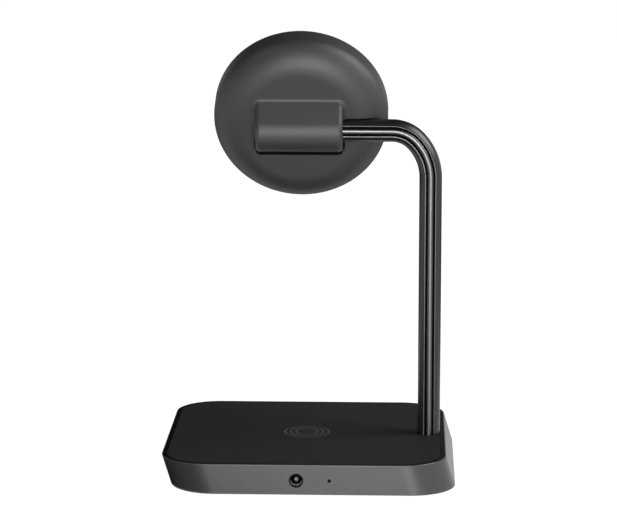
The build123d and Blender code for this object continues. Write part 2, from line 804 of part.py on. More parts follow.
# Hinge shaft: a plug in the tube, a flange with the stop pin, and a hollow journal
shaft_length = shaft_end + tube_end
with BuildPart() as hinge_shaft:
    along_hinge(tube_bore - seat_fit, -tube_end - shaft_plug, -tube_end)
    along_hinge(shaft_flange_radius, -tube_end, flange_face)
    along_hinge(journal_radius, flange_face, shaft_end)
    stop_angle = 270 - (lean_flattest + lean_upright - 2 * head_lean) / 2
    pin_at = [(stop_pin_circle * cos(radians(stop_angle)), stop_pin_circle * sin(radians(stop_angle)))]
    post(hinge.offset(flange_face), stop_pin_radius, near_cheek + cheek_thickness - flange_face, pin_at)
    along_hinge(shaft_bore, -tube_end - shaft_plug, shaft_end, Mode.SUBTRACT)
save(hinge_shaft, "hinge_shaft")

with BuildPart() as friction_washers:
    for left in (flange_face, far_washer):
        ring(hinge.offset(left), washer_radius, journal_radius + seat_fit, washer_thickness)
save(friction_washers, "friction_washers")

with BuildPart() as disc_springs:
    spring_section = Plane(origin=hinge.origin, x_dir=hinge.z_dir, z_dir=hinge.y_dir)
    spring_bore = journal_radius + seat_fit
    spring_middle = spring_left + spring_thickness + spring_rise
    for side in (-1, 1):
        with BuildSketch(spring_section):
            with BuildLine():
                Polyline(
                    (spring_middle, -spring_radius),
                    (spring_middle + side * spring_thickness, -spring_radius),
                    (spring_middle + side * (spring_thickness + spring_rise), -spring_bore),
                    (spring_middle + side * spring_rise, -spring_bore),
                    close=True,
                )
            make_face()
        revolve(axis=Axis(hinge.origin, hinge.z_dir))
save(disc_springs, "disc_springs")

with BuildPart() as hinge_nut:
    with BuildSketch(hinge.offset(nut_left)):
        RegularPolygon(nut_across / 2, 6, major_radius=False)
        Circle(journal_radius + thread_fit, mode=Mode.SUBTRACT)
    extrude(amount=nut_thickness)
save(hinge_nut, "hinge_nut")

# Bracket: two cheeks on the journal, a plate across them and screw ears on the cover's bosses
with BuildPart() as hinge_bracket:
    for left in (near_cheek, far_cheek):
        along_hinge(cheek_radius, left, left + cheek_thickness)
        block(hinge.offset(left), 2 * cheek_radius, bracket_level, cheek_thickness, [(0, bracket_level / 2)])
    with BuildSketch(head.offset(bracket_level)):
        with Locations((bracket_middle, 0)):
            RectangleRounded(bracket_width, 2 * bracket_reach, bracket_corner)
    extrude(amount=bracket_plate)
    with BuildSketch(hinge.offset(near_cheek)):
        notch_start = 270 - (lean_flattest - lean_upright) / 2 - stop_slack
        notch_turn = lean_flattest - lean_upright + 2 * stop_slack
        with BuildLine():
            CenterArc((0, 0), stop_notch_radius, notch_start, notch_turn)
            far = CenterArc((0, 0), 2 * cheek_radius, notch_start, notch_turn)
            Line(stop_notch_radius * Vector(1, 0).rotate(Axis.Z, notch_start), far @ 0)
            Line(stop_notch_radius * Vector(1, 0).rotate(Axis.Z, notch_start + notch_turn), far @ 1)
        make_face()
        offset(amount=stop_pin_radius, kind=Kind.ARC)
    extrude(amount=cheek_thickness, mode=Mode.SUBTRACT)
    along_hinge(journal_radius + running_fit, near_cheek, far_cheek + cheek_thickness, Mode.SUBTRACT)
    post(head.offset(bracket_level), screw_shank + slip_fit, bracket_plate, bracket_screws_at, Mode.SUBTRACT)
save(hinge_bracket, "hinge_bracket")

with BuildPart() as bracket_screws:
    bracket_shank = bracket_level + bracket_plate - cover_wall - 2 * head_setback - screw_end_gap
    screw(head.offset(bracket_level + bracket_plate), screw_head, bracket_shank, bracket_screws_at)
save(bracket_screws, "bracket_screws")

# Front frame: the rim wall, with a ledge behind the face pad
pad_bottom = face + pad_proud - pad_thickness
ledge_bottom = pad_bottom - ledge_thickness
rim_inner = head_radius - rim_wall
ledge_inner = rim_inner - ledge_width
with BuildPart() as front_frame:
    post(disc.offset(seam), head_radius, rim_depth, [(0, 0)])
    fillet(front_frame.faces().sort_by(Axis(disc.origin, disc.z_dir))[-1].edges(), rim_fillet)
    post(disc.offset(seam), rim_inner, ledge_bottom - seam, [(0, 0)], Mode.SUBTRACT)
    post(disc.offset(ledge_bottom), ledge_inner, face - ledge_bottom, [(0, 0)], Mode.SUBTRACT)
    post(disc.offset(pad_bottom), rim_inner, face - pad_bottom, [(0, 0)], Mode.SUBTRACT)
save(front_frame, "front_frame")

with BuildPart() as face_pad:
    post(disc.offset(pad_bottom), rim_inner - pad_gap, pad_thickness, [(0, 0)])
    fillet(face_pad.faces().sort_by(Axis(disc.origin, disc.z_dir))[-1].edges(), pad_edge)
save(face_pad, "face_pad")

# Coil frame: a cup with a flange behind the ledge, holding the magnets, the ferrite and the coil
frame_radius = ledge_inner - slip_fit
frame_top = pad_bottom - washer_gap
frame_level = ledge_bottom - frame_flange
magnet_wall_outer = magnet_inner - slip_fit
magnet_wall_inner = head_coil_radius + slip_fit
frame_bottom = frame_top - head_coil_thickness - head_ferrite_thickness - frame_floor - washer_gap
with BuildPart() as coil_frame:
    post(disc.offset(frame_bottom), frame_radius, frame_top - frame_bottom, [(0, 0)])
    post(disc.offset(frame_level), rim_inner - slip_fit, frame_flange, [(0, 0)])
    frame_inside = disc.offset(frame_bottom + frame_floor)
    ring(frame_inside, magnet_outer + slip_fit, magnet_wall_outer, frame_top, Mode.SUBTRACT)
    post(frame_inside, magnet_wall_inner, frame_top, [(0, 0)], Mode.SUBTRACT)
save(coil_frame, "coil_frame")

with BuildPart() as magnet_yoke:
    ring(frame_inside, magnet_outer, magnet_inner, yoke_thickness)
save(magnet_yoke, "magnet_yoke")

with BuildPart() as magnet_ring:
    segment = 360 / magnet_count
    magnet_turn = segment - 2 * magnet_gap
    with BuildSketch(frame_inside.offset(yoke_thickness)):
        for i in range(magnet_count):
            with BuildLine():
                inner = CenterArc((0, 0), magnet_inner, i * segment, magnet_turn)
                outer = CenterArc((0, 0), magnet_outer, i * segment, magnet_turn)
                Line(inner @ 0, outer @ 0)
                Line(inner @ 1, outer @ 1)
            make_face()
    extrude(amount=magnet_thickness)
save(magnet_ring, "magnet_ring")

with BuildPart() as ferrite_disc:
    post(frame_inside, head_coil_radius, head_ferrite_thickness, [(0, 0)])
save(ferrite_disc, "ferrite_disc")

with BuildPart() as charging_coil:
    ring(frame_inside.offset(head_ferrite_thickness), head_coil_radius, head_coil_bore, head_coil_thickness)
save(charging_coil, "charging_coil")

with BuildPart() as shield_plate:
    post(disc.offset(frame_bottom - shield_thickness), shield_radius, shield_thickness, [(0, 0)])
save(shield_plate, "shield_plate")

# Head board on the three bosses, with its chips and the lead's connector on its back
with BuildPart() as head_board:
    post(disc.offset(head_board_level), head_board_radius, head_board_thickness, [(0, 0)])
    post(disc.offset(head_board_level), screw_shank + slip_fit, head_board_thickness, head_bosses_at,
         Mode.SUBTRACT)
save(head_board, "head_board")

with BuildPart() as head_screws:
    head_shank = head_board_level + head_board_thickness - cover_wall - 2 - screw_end_gap
    screw(disc.offset(head_board_level + head_board_thickness), screw_head, head_shank, head_bosses_at)
save(head_screws, "head_screws")

board_back = disc.offset(head_board_level)
with BuildPart() as head_chips:
    head_chips_at = [(head_chip_x, side * head_chip_spread) for side in (-1, 1)]
    block(board_back, head_chip_size, head_chip_size, -head_chip_height, head_chips_at)
save(head_chips, "head_chips")

tail_x = shaft_end + lead_tail_gap + lead_tail_bend
connector_level = head_board_level - head_connector_height
with BuildPart() as head_connector:
    block(board_back, head_connector_size, head_connector_size, -head_connector_height,
          on_disc([(tail_x, 0)]))
save(head_connector, "head_connector")

tail_start = shaft_end + lead_tail_gap
tail_plane = Plane(origin=head.origin, x_dir=head.x_dir, z_dir=-head.y_dir)
with BuildPart() as head_lead:
    with BuildLine(tail_plane) as tail_line:
        turn = JernArc(start=(tail_start, 0), tangent=(1, 0), radius=lead_tail_bend, arc_size=90)
        Line(turn @ 1, (tail_x, connector_level + head_setback))
    with BuildSketch(hinge.offset(tail_start)):
        Circle(lead_radius)
    sweep(path=tail_line.line)
save(head_lead, "head_lead")
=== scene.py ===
"""Two-in-one wireless charger, seen from behind: dark metal base, black tube arm, domed phone head.

Lengths are worked out in millimetres, as the maker's drawing has them, and go into the meshes in metres.
"""

import json
from math import asin, cos, pi, radians, sin, tan

import bmesh
import bpy
import numpy as np
from mathutils import Matrix, Vector

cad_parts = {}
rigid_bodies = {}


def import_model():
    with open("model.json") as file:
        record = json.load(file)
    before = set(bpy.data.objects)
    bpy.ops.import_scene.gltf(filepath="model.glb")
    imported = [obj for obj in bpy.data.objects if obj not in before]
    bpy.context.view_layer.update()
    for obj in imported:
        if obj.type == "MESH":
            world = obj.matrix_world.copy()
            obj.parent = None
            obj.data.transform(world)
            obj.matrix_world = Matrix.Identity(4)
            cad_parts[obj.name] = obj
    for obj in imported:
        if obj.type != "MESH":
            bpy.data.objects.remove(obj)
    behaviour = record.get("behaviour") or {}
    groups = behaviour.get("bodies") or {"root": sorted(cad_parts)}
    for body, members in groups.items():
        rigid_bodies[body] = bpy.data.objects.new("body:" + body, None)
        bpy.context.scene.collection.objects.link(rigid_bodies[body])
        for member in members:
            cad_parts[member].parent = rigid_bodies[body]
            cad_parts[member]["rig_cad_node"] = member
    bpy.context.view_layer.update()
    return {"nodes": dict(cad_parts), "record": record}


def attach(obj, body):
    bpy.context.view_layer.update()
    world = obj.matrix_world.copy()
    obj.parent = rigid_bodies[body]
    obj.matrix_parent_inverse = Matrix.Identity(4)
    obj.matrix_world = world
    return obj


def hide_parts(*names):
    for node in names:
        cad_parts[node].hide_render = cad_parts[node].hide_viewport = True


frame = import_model()
nodes = frame["nodes"]

MM = 0.001

# Base casing
BASE_WIDTH = 100.0
BASE_DEPTH = 95.2
BASE_CORNER = 16.1
BASE_LEAN = 3.3
CASING_HEIGHT = 10.7
CASING_BOTTOM = 0.4
CASING_TOP = CASING_BOTTOM + CASING_HEIGHT
CASING_WALL = 1.6
RIM_WIDTH = 0.35
PLATE_INSET = 1.9
TRIM_BOTTOM = 9.5
TRIM_LEDGE = 1.8
PLATE_BOTTOM = 9.9
SEAT_FIT = 0.05

# Arm
STEM_X = -42.45
ARM_HEIGHT = 121.4
TUBE_RADIUS = 4.03
TUBE_BORE = 2.6
TUBE_FOOT = 1.9
TUBE_CLEARANCE = 0.25
LOW_BEND = 18.9
HIGH_BEND = 11.7
GROOVE_HALF = 1.75
GROOVE_FLOOR = 3.13
GROOVE_BEVEL = 0.26
STRIP_FIT = 0.06
STRIP_FOOT = 0.3
BEAD_BASE = 3.0
BEAD_SIDE = 0.985

# Power socket and status light, in the back wall
SOCKET_X = 3.7
SOCKET_HEIGHT = 5.45
SOCKET_HOLE = 2.55
LIGHT_X = SOCKET_X - 11.5
LIGHT_HOLE = 0.6
# The lip arc is plated metal on the socket's lower half only: painted highlight for the pale crescent there.
LIP_RADIUS = 2.04
LIP_ROOT = 0.04
LIP_WIDTH = 0.24
LIP_FRONT = BASE_DEPTH / 2 - 1.7
LIP_LENGTH = 0.6
LIP_END = 0.15

# Head
HEAD_X = 4.05
ARM_END = HEAD_X - 11.0
HEAD_LEAN = radians(21.0)
HEAD_RISE = 0.75
HEAD_SETBACK = 0.3
HEAD_RADIUS = 31.2
DOME_SWEEP = 12.5
DOME_EDGE = 6.1
DOME_TURN = radians(50.0)
DOME_MIDDLE = DOME_SWEEP - (DOME_SWEEP - DOME_EDGE) * cos(DOME_TURN)
FLAT_RADIUS = HEAD_RADIUS - DOME_EDGE - (DOME_SWEEP - DOME_EDGE) * sin(DOME_TURN)
SEAM = DOME_MIDDLE + 0.8
FACE = SEAM + 6.0
COVER_WALL = 1.8
BLOCK_RADIUS = 8.1
BLOCK_RAMP = radians(45.5)
BLOCK_LEFT = -15.2
BLOCK_RIGHT = 15.8
BLOCK_EDGE = 1.7
BLOCK_BLEND = 1.8
UNDER_BLEND = 0.15
UNDER_CUT = radians(38.0)
UNDER_REACH = 0.4
UNDER_CORNER = 1.2
FILLET_TIGHT_BELOW = -5.0
FILLET_CHANGE = 4.0
CHANNEL_RADIUS = 4.43
CHANNEL_END = HEAD_X - 13.2
CHANNEL_WALL = 1.4
POCKET_RADIUS = 6.1
RIM_WALL = 1.6
RIM_LEDGE = 3.8
DOME_TRAVEL = FLAT_RADIUS + DOME_SWEEP * DOME_TURN + DOME_EDGE * (pi / 2 - DOME_TURN) + (SEAM - DOME_MIDDLE)
HEAD_FRONT = np.array([0.0, -cos(HEAD_LEAN), sin(HEAD_LEAN)])
HEAD_UP = np.array([0.0, sin(HEAD_LEAN), cos(HEAD_LEAN)])
HEAD_SIDE = np.array([1.0, 0.0, 0.0])
HEAD_CENTRE = np.array([HEAD_X, 0.0, ARM_HEIGHT]) + HEAD_RISE * HEAD_UP + HEAD_SETBACK * HEAD_FRONT

# Studio
CEILING = 0.04
SOFT_LEVEL = 0.08
FLOOR_GLOW = 0.985


def linear(code):
    """An sRGB hex colour as the linear values that a shader takes."""
    channels = [int(code[i : i + 2], 16) / 255 for i in (0, 2, 4)]
    return [c / 12.92 if c <= 0.04045 else ((c + 0.055) / 1.055) ** 2.4 for c in channels] + [1.0]


def mesh_piece(name, points, faces, body, replaced=(), crease=32.0):
    """A piece from points in millimetres and faces, smooth but for edges sharper than the crease angle."""
    mesh = bpy.data.meshes.new(name)
    mesh.from_pydata((np.asarray(points, float) * MM).tolist(), [], [list(map(int, f)) for f in faces])
    piece = bpy.data.objects.new(name, mesh)
    bpy.context.scene.collection.objects.link(piece)
    work = bmesh.new()
    work.from_mesh(mesh)
    bmesh.ops.remove_doubles(work, verts=work.verts, dist=2e-7)
    if work.calc_volume(signed=True) < 0:
        bmesh.ops.reverse_faces(work, faces=work.faces)
    work.to_mesh(mesh)
    work.free()
    soften(piece, crease)
    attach(piece, body)
    if replaced:
        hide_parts(*replaced)
    return piece


def soften(piece, crease):
    """Smooth shading that breaks at edges sharper than the crease angle, in degrees."""
    mesh = piece.data
    mesh.polygons.foreach_set("use_smooth", np.ones(len(mesh.polygons), bool))
    work = bmesh.new()
    work.from_mesh(mesh)
    for edge in work.edges:
        edge.smooth = edge.calc_face_angle(0.0) < radians(crease)
    work.to_mesh(mesh)
    work.free()
    mesh.update()


def grid_faces(rows, columns, wrap_rows=False, wrap_columns=False, start=0):
    """Quads between neighbouring rows and columns of a grid of points, as one array."""
    r = np.arange(rows if wrap_rows else rows - 1)
    c = np.arange(columns if wrap_columns else columns - 1)
    r, c = np.meshgrid(r, c, indexing="ij")
    down, right = (r + 1) % rows, (c + 1) % columns
    quads = np.stack([r * columns + c, r * columns + right, down * columns + right, down * columns + c], -1)
    return quads.reshape(-1, 4) + start


def capped_run(name, grid, body, crease):
    """A closed piece from a grid: each row is a closed outline carried along a path, with flat ends."""
    rows, columns = grid.shape[:2]
    faces = grid_faces(rows, columns, wrap_columns=True).tolist()
    faces += [list(range(columns))[::-1], list(range((rows - 1) * columns, rows * columns))]
    return mesh_piece(name, grid.reshape(-1, 3), faces, body, (), crease)


def cut_away(piece, cutter, crease=32.0):
    """Take a cutter's space out of a piece for good."""
    step = piece.modifiers.new("cut", "BOOLEAN")
    step.object = cutter
    step.operation = "DIFFERENCE"
    step.solver = "EXACT"
    bpy.context.view_layer.update()
    result = bpy.data.meshes.new_from_object(piece.evaluated_get(bpy.context.evaluated_depsgraph_get()))
    piece.modifiers.remove(step)
    old = piece.data
    result.name = old.name
    piece.data = result
    bpy.data.meshes.remove(old)
    bpy.data.objects.remove(cutter)
    soften(piece, crease)


def rod_cutter(centre, direction, radius, length, sides=96):
    """A closed rod from a centre along a direction: a circle carried along a line, with flat ends."""
    direction = np.asarray(direction, float) / np.linalg.norm(direction)
    across = np.cross(direction, [0.0, 0.0, 1.0] if abs(direction[2]) < 0.9 else [1.0, 0.0, 0.0])
    across /= np.linalg.norm(across)
    up = np.cross(direction, across)
    turn = np.arange(sides) * 2 * pi / sides
    circle = radius * (np.outer(np.cos(turn), across) + np.outer(np.sin(turn), up))
    points = np.concatenate([np.asarray(centre) + circle, np.asarray(centre) + circle + length * direction])
    faces = grid_faces(2, sides, wrap_columns=True).tolist()
    faces += [list(range(sides))[::-1], list(range(sides, 2 * sides))]
    mesh = bpy.data.meshes.new("cutter")
    mesh.from_pydata((points * MM).tolist(), [], faces)
    cutter = bpy.data.objects.new("cutter", mesh)
    bpy.context.scene.collection.objects.link(cutter)
    return cutter


def rounded_profile(corners, steps=5):
    """A closed outline from (x, y, radius) corners, with each corner turned into an arc tangent to its sides.

    A point just outside each end of an arc keeps the flat side's shading flat."""
    out = []
    count = len(corners)
    for i, (x, y, r) in enumerate(corners):
        here = np.array([x, y])
        if r <= 0:
            out.append(here)
            continue
        before = np.array(corners[i - 1][:2]) - here
        after = np.array(corners[(i + 1) % count][:2]) - here
        before /= np.linalg.norm(before)
        after /= np.linalg.norm(after)
        half = np.arccos(np.clip(before @ after, -1, 1)) / 2
        reach = r / tan(half)
        middle = here + (before + after) / np.linalg.norm(before + after) * (r / sin(half))
        a, b = here + before * reach - middle, here + after * reach - middle
        turn = np.arccos(np.clip(a @ b / r**2, -1, 1))
        out.append(here + before * reach * 1.15)
        for k in np.linspace(0, 1, steps + 1):
            out.append(middle + (a * sin((1 - k) * turn) + b * sin(k * turn)) / sin(turn))
        out.append(here + after * reach * 1.15)
    return np.array(out)


def casing_lean(height):
    """How far the outline has moved along X at a height: the walls lean by one fixed slope."""
    return BASE_LEAN * ((height - CASING_BOTTOM) / CASING_HEIGHT - 0.5)


def carried_round(profile, corner_steps=28, side_steps=6):
    """A closed profile of (inset, height) points carried round the base's rounded rectangle, as a grid.

    Each outline point moves inwards along its own normal by the inset, and along X with the lean."""
    outline, normals = [], []
    half_x, half_y = BASE_WIDTH / 2 - BASE_CORNER, BASE_DEPTH / 2 - BASE_CORNER
    corners = [(half_x, half_y), (-half_x, half_y), (-half_x, -half_y), (half_x, -half_y)]
    for i, corner in enumerate(corners):
        turn = i * pi / 2 + np.linspace(0, pi / 2, corner_steps)
        normal = np.stack([np.cos(turn), np.sin(turn)], -1)
        arc = np.array(corner) + BASE_CORNER * normal
        following = np.array(corners[(i + 1) % 4]) + BASE_CORNER * normal[-1]
        share = np.linspace(0.008, 0.992, side_steps)[:, None]
        outline += [arc, arc[-1] + (following - arc[-1]) * share]
        normals += [normal, np.repeat(normal[-1:], side_steps, 0)]
    outline, normals = np.concatenate(outline), np.concatenate(normals)
    inset, height = profile[:, 0], profile[:, 1]
    grid = outline[:, None, :] - normals[:, None, :] * inset[None, :, None]
    lean = casing_lean(height)
    z = np.broadcast_to(height, grid.shape[:2])
    return np.dstack([grid[..., 0] + lean, grid[..., 1], z])


def base_ring(name, corners, node):
    """A ring of the base: a closed rounded profile carried round the outline and closed on itself."""
    grid = carried_round(rounded_profile(corners))
    rows, columns = grid.shape[:2]
    faces = grid_faces(rows, columns, True, True)
    return mesh_piece(name, grid.reshape(-1, 3), faces, "stand", (node,))


def make_base():
    """The casing wall with its two holes, and the trim band with the hole for the arm."""
    casing = base_ring(
        "casing_wall",
        [
            (0.0, CASING_BOTTOM, 0.18),
            (0.0, CASING_TOP, 0.3),
            (RIM_WIDTH, CASING_TOP, 0.03),
            (RIM_WIDTH, TRIM_BOTTOM, 0),
            (CASING_WALL, TRIM_BOTTOM, 0),
            (CASING_WALL, CASING_BOTTOM, 0),
        ],
        "base_casing",
    )
    behind = BASE_DEPTH / 2 + 2.4
    for x, radius, sides in ((SOCKET_X, SOCKET_HOLE, 72), (LIGHT_X, LIGHT_HOLE, 32)):
        cut_away(casing, rod_cutter((x, behind, SOCKET_HEIGHT), (0, -1, 0), radius, 6, sides))
    trim = base_ring(
        "trim_band",
        [
            (RIM_WIDTH + SEAT_FIT, TRIM_BOTTOM, 0),
            (RIM_WIDTH + SEAT_FIT, CASING_TOP, 0.06),
            (PLATE_INSET, CASING_TOP, 0.06),
            (PLATE_INSET, PLATE_BOTTOM, 0),
            (PLATE_INSET + TRIM_LEDGE, PLATE_BOTTOM, 0),
            (PLATE_INSET + TRIM_LEDGE, TRIM_BOTTOM, 0),
        ],
        "top_trim",
    )
    below = TRIM_BOTTOM - 0.5
    cut_away(trim, rod_cutter((STEM_X, 0, below), (0, 0, 1), TUBE_RADIUS + TUBE_CLEARANCE, 3))
    return casing, trim


def arm_line(start, end, straight_steps, bend_steps):
    """Points and tangents of the arm's middle line: a straight stem, two tangent arcs, a straight run.

    The lower arc turns through the first 45 degrees and the upper, tighter arc through the rest."""
    half = radians(45)
    rise = LOW_BEND * sin(half) + HIGH_BEND * (1 - sin(half))
    bend_start = ARM_HEIGHT - rise
    low = np.linspace(0, half, bend_steps)
    high = np.linspace(half, pi / 2, bend_steps)[1:]
    low_x = STEM_X + LOW_BEND * (1 - np.cos(low))
    low_z = bend_start + LOW_BEND * np.sin(low)
    high_x = low_x[-1] + HIGH_BEND * (cos(half) - np.cos(high))
    high_z = low_z[-1] + HIGH_BEND * (np.sin(high) - sin(half))
    stem_z = np.linspace(start, bend_start, straight_steps, endpoint=False)
    run_x = np.linspace(high_x[-1], end, straight_steps)[1:]
    x = np.concatenate([np.full(straight_steps, STEM_X), low_x, high_x, run_x])
    z = np.concatenate([stem_z, low_z, high_z, np.full(straight_steps - 1, ARM_HEIGHT)])
    turn = np.concatenate([np.zeros(straight_steps), low, high, np.full(straight_steps - 1, pi / 2)])
    return x, z, turn


def carried_along_arm(profile, start, end, straight_steps=24, bend_steps=26):
    """A profile of (inwards, outwards to the back) points carried along the arm's middle line."""
    x, z, turn = arm_line(start, end, straight_steps, bend_steps)
    side, back = profile[:, 0], profile[:, 1]
    grid_x = x[:, None] + np.cos(turn)[:, None] * side
    grid_z = z[:, None] - np.sin(turn)[:, None] * side
    grid_y = np.broadcast_to(back, grid_x.shape)
    return np.dstack([grid_x, grid_y, grid_z])


def tube_profile(steps=88):
    """The tube's outside: a circle broken by a flat-floored groove, with a narrow flat land on each lip.

    Each land falls by a hundredth of a millimetre towards the groove."""
    lip = asin((GROOVE_HALF + GROOVE_BEVEL) / TUBE_RADIUS)
    turn = np.linspace(lip, 2 * pi - lip, steps)
    outside = TUBE_RADIUS * np.stack([np.sin(turn), np.cos(turn)], -1)
    lip_height = TUBE_RADIUS * cos(lip)
    inner = lip_height - 0.01
    groove = [
        (-GROOVE_HALF, inner),
        (-GROOVE_HALF, GROOVE_FLOOR),
        (GROOVE_HALF, GROOVE_FLOOR),
        (GROOVE_HALF, inner),
    ]
    return np.concatenate([outside, groove])


def make_arm():
    """The tube with its groove, the flat foot of the strip that lies in the groove, and the bead on it.

    The bead's outline is (sin t, 3 + (cos t)^0.6), which is a half round with a flatter crown."""
    outside = tube_profile()
    angle = np.arctan2(outside[:, 0], outside[:, 1])
    bore = TUBE_BORE * np.stack([np.sin(angle), np.cos(angle)], -1)
    skin = carried_along_arm(outside, TUBE_FOOT, ARM_END)
    lining = carried_along_arm(bore, TUBE_FOOT, ARM_END)[::-1]
    grid = np.concatenate([skin, lining])
    faces = grid_faces(*grid.shape[:2], True, True)
    tube = mesh_piece("arm_tube_skin", grid.reshape(-1, 3), faces, "stand", ("arm_tube",), 18)

    foot_half, foot_top = GROOVE_HALF - STRIP_FIT, GROOVE_FLOOR + STRIP_FOOT
    foot_outline = np.array(
        [(-foot_half, GROOVE_FLOOR), (-foot_half, foot_top), (foot_half, foot_top), (foot_half, GROOVE_FLOOR)]
    )
    bead_turn = np.linspace(radians(-80), radians(80), 41)
    crown = np.stack([np.sin(bead_turn), BEAD_BASE + np.cos(bead_turn) ** 0.6], -1)
    bead_bottom = foot_top - 0.1
    bead_outline = np.concatenate([[(-BEAD_SIDE, bead_bottom)], crown, [(BEAD_SIDE, bead_bottom)]])
    foot = closed_run("arm_groove_floor", foot_outline)
    bead = closed_run("arm_bead", bead_outline)
    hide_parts("arm_strip")
    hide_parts("arm_strip")
    return tube, foot, bead


def closed_run(name, outline):
    """A closed outline carried along the arm from the base's top to the arm's end inside the hinge."""
    return capped_run(name, carried_along_arm(outline, TRIM_BOTTOM, ARM_END), "stand", 30)


def on_head(x, y, z):
    """Places on the disc's own axes (across, up, towards the phone) as places in the part's frame."""
    x, y, z = np.broadcast_arrays(x, y, z)
    return HEAD_CENTRE + x[..., None] * HEAD_SIDE + y[..., None] * HEAD_UP + z[..., None] * HEAD_FRONT


def turned_on_head(profile, steps=200):
    """A profile of (radius, depth) points turned about the disc's axis, as a grid closed in the round."""
    turn = np.arange(steps) * 2 * pi / steps
    radius, depth = profile[:, 0], profile[:, 1]
    x, y = np.cos(turn)[:, None] * radius, np.sin(turn)[:, None] * radius
    return on_head(x, y, np.broadcast_to(depth, x.shape))


def dome_point(travel, wall=0.0):
    """Radius and depth on the domed back after a travel outwards from the axis.

    The travel runs over the flat, then the wide arc, then the tight edge arc, then straight to the seam."""
    sweep, edge = DOME_SWEEP - wall, DOME_EDGE - wall
    wide_end = FLAT_RADIUS + DOME_SWEEP * DOME_TURN
    edge_end = wide_end + DOME_EDGE * (pi / 2 - DOME_TURN)
    turn_wide = np.clip((travel - FLAT_RADIUS) / DOME_SWEEP, 0, DOME_TURN)
    turn_edge = np.clip((travel - wide_end) / DOME_EDGE, 0, pi / 2 - DOME_TURN) + DOME_TURN
    radius = np.minimum(travel, FLAT_RADIUS) + sweep * np.sin(turn_wide)
    depth = wall + sweep * (1 - np.cos(turn_wide))
    on_edge = travel > wide_end
    radius = np.where(on_edge, HEAD_RADIUS - DOME_EDGE + edge * np.sin(turn_edge), radius)
    depth = np.where(on_edge, DOME_MIDDLE - edge * np.cos(turn_edge), depth)
    depth = depth + np.clip(travel - edge_end, 0, None)
    return radius, depth


def dome_distance(x, y, z, wall=0.0):
    """Rough signed distance to the domed back, negative inside: the nearest of the flat and the two arcs."""
    radius = np.hypot(x, y)
    wide = np.hypot(radius - FLAT_RADIUS, z - DOME_SWEEP) - (DOME_SWEEP - wall)
    edge = np.hypot(radius - (HEAD_RADIUS - DOME_EDGE), z - DOME_MIDDLE) - (DOME_EDGE - wall)
    flat = wall - z
    turn = np.arctan2(radius - FLAT_RADIUS, DOME_SWEEP - z)
    curved = np.where(turn < DOME_TURN, wide, edge)
    return np.where(radius < FLAT_RADIUS, flat, curved)


def block_distance(x, y, z):
    """Signed distance to the hinge block: a half-round nose with a tangent ramp, between two end walls.

    The section is measured about the hinge axis, and its ends are rounded where they meet the section.
    Under the nose a tangent cut runs down to a flat underside, and their corner is rounded."""
    up = y + HEAD_RISE
    out = -(z + HEAD_SETBACK)
    nose = np.hypot(up, out) - BLOCK_RADIUS
    ramp = up * sin(BLOCK_RAMP) + out * cos(BLOCK_RAMP) - BLOCK_RADIUS
    angle = np.arctan2(up, out)
    section = np.where(angle > BLOCK_RAMP, ramp, nose)
    c = out * cos(UNDER_CUT) - up * sin(UNDER_CUT) - BLOCK_RADIUS + UNDER_CORNER
    d = -up - BLOCK_RADIUS - UNDER_REACH + UNDER_CORNER
    under = np.minimum(np.maximum(c, d), 0) + np.hypot(np.maximum(c, 0), np.maximum(d, 0)) - UNDER_CORNER
    section = np.where(angle < -UNDER_CUT, under, section)
    section = np.where(out < 0, np.maximum(-up - BLOCK_RADIUS - UNDER_REACH, ramp), section)
    end = np.maximum(BLOCK_LEFT - x, x - BLOCK_RIGHT)
    a, b = section + BLOCK_EDGE, end + BLOCK_EDGE
    return np.minimum(np.maximum(a, b), 0) + np.hypot(np.maximum(a, 0), np.maximum(b, 0)) - BLOCK_EDGE


def steepness(distance, x, y, z, step=0.02):
    """A distance and the unit direction in which it grows, from its change over a small step on each axis."""
    here = distance(x, y, z)
    change = np.stack(
        [distance(x + step, y, z) - here, distance(x, y + step, z) - here, distance(x, y, z + step) - here]
    )
    return here, change / np.maximum(np.linalg.norm(change, axis=0), 1e-9)


def cover_outside(x, y, z):
    """Distance to the cover's outside: the dome and the hinge block, with a hollow fillet round the foot.

    With a and b the radius less each distance, and g the cosine between the two surfaces' normals, the
    fillet's middle is sqrt((a^2 + b^2 - 2abg) / (1 - g^2)) away, wherever both surfaces face it. The
    radius shrinks below the hinge, where the nose meets the dome in a tight dark line."""
    share = np.clip((y + HEAD_RISE - FILLET_TIGHT_BELOW) / FILLET_CHANGE, 0, 1)
    blend = UNDER_BLEND + (BLOCK_BLEND - UNDER_BLEND) * share**2 * (3 - 2 * share)
    dome, dome_way = steepness(dome_distance, x, y, z)
    block, block_way = steepness(block_distance, x, y, z)
    a, b = blend - dome, blend - block
    g = np.clip((dome_way * block_way).sum(0), -0.9, 0.995)
    away = np.sqrt(np.maximum(a * a + b * b - 2 * a * b * g, 0) / (1 - g * g))
    between = (a - b * g > 0) & (b - a * g > 0)
    return np.where(between, blend - away, np.minimum(dome, block))


def cover_inside(x, y, z):
    """Distance to the space inside the cover: the dome less its wall, with the hinge pocket."""
    up = y + HEAD_RISE
    out = -(z + HEAD_SETBACK)
    pocket = np.where(out > 0, np.hypot(up, out), np.abs(up)) - POCKET_RADIUS
    pocket = np.maximum(pocket, np.maximum(BLOCK_LEFT + COVER_WALL - x, x - BLOCK_RIGHT + COVER_WALL))
    tunnel = np.hypot(up, out) - (CHANNEL_RADIUS + CHANNEL_WALL)
    tunnel = np.maximum(tunnel, x - (BLOCK_LEFT + COVER_WALL))
    return np.minimum(np.maximum(dome_distance(x, y, z, COVER_WALL), -tunnel), pocket)


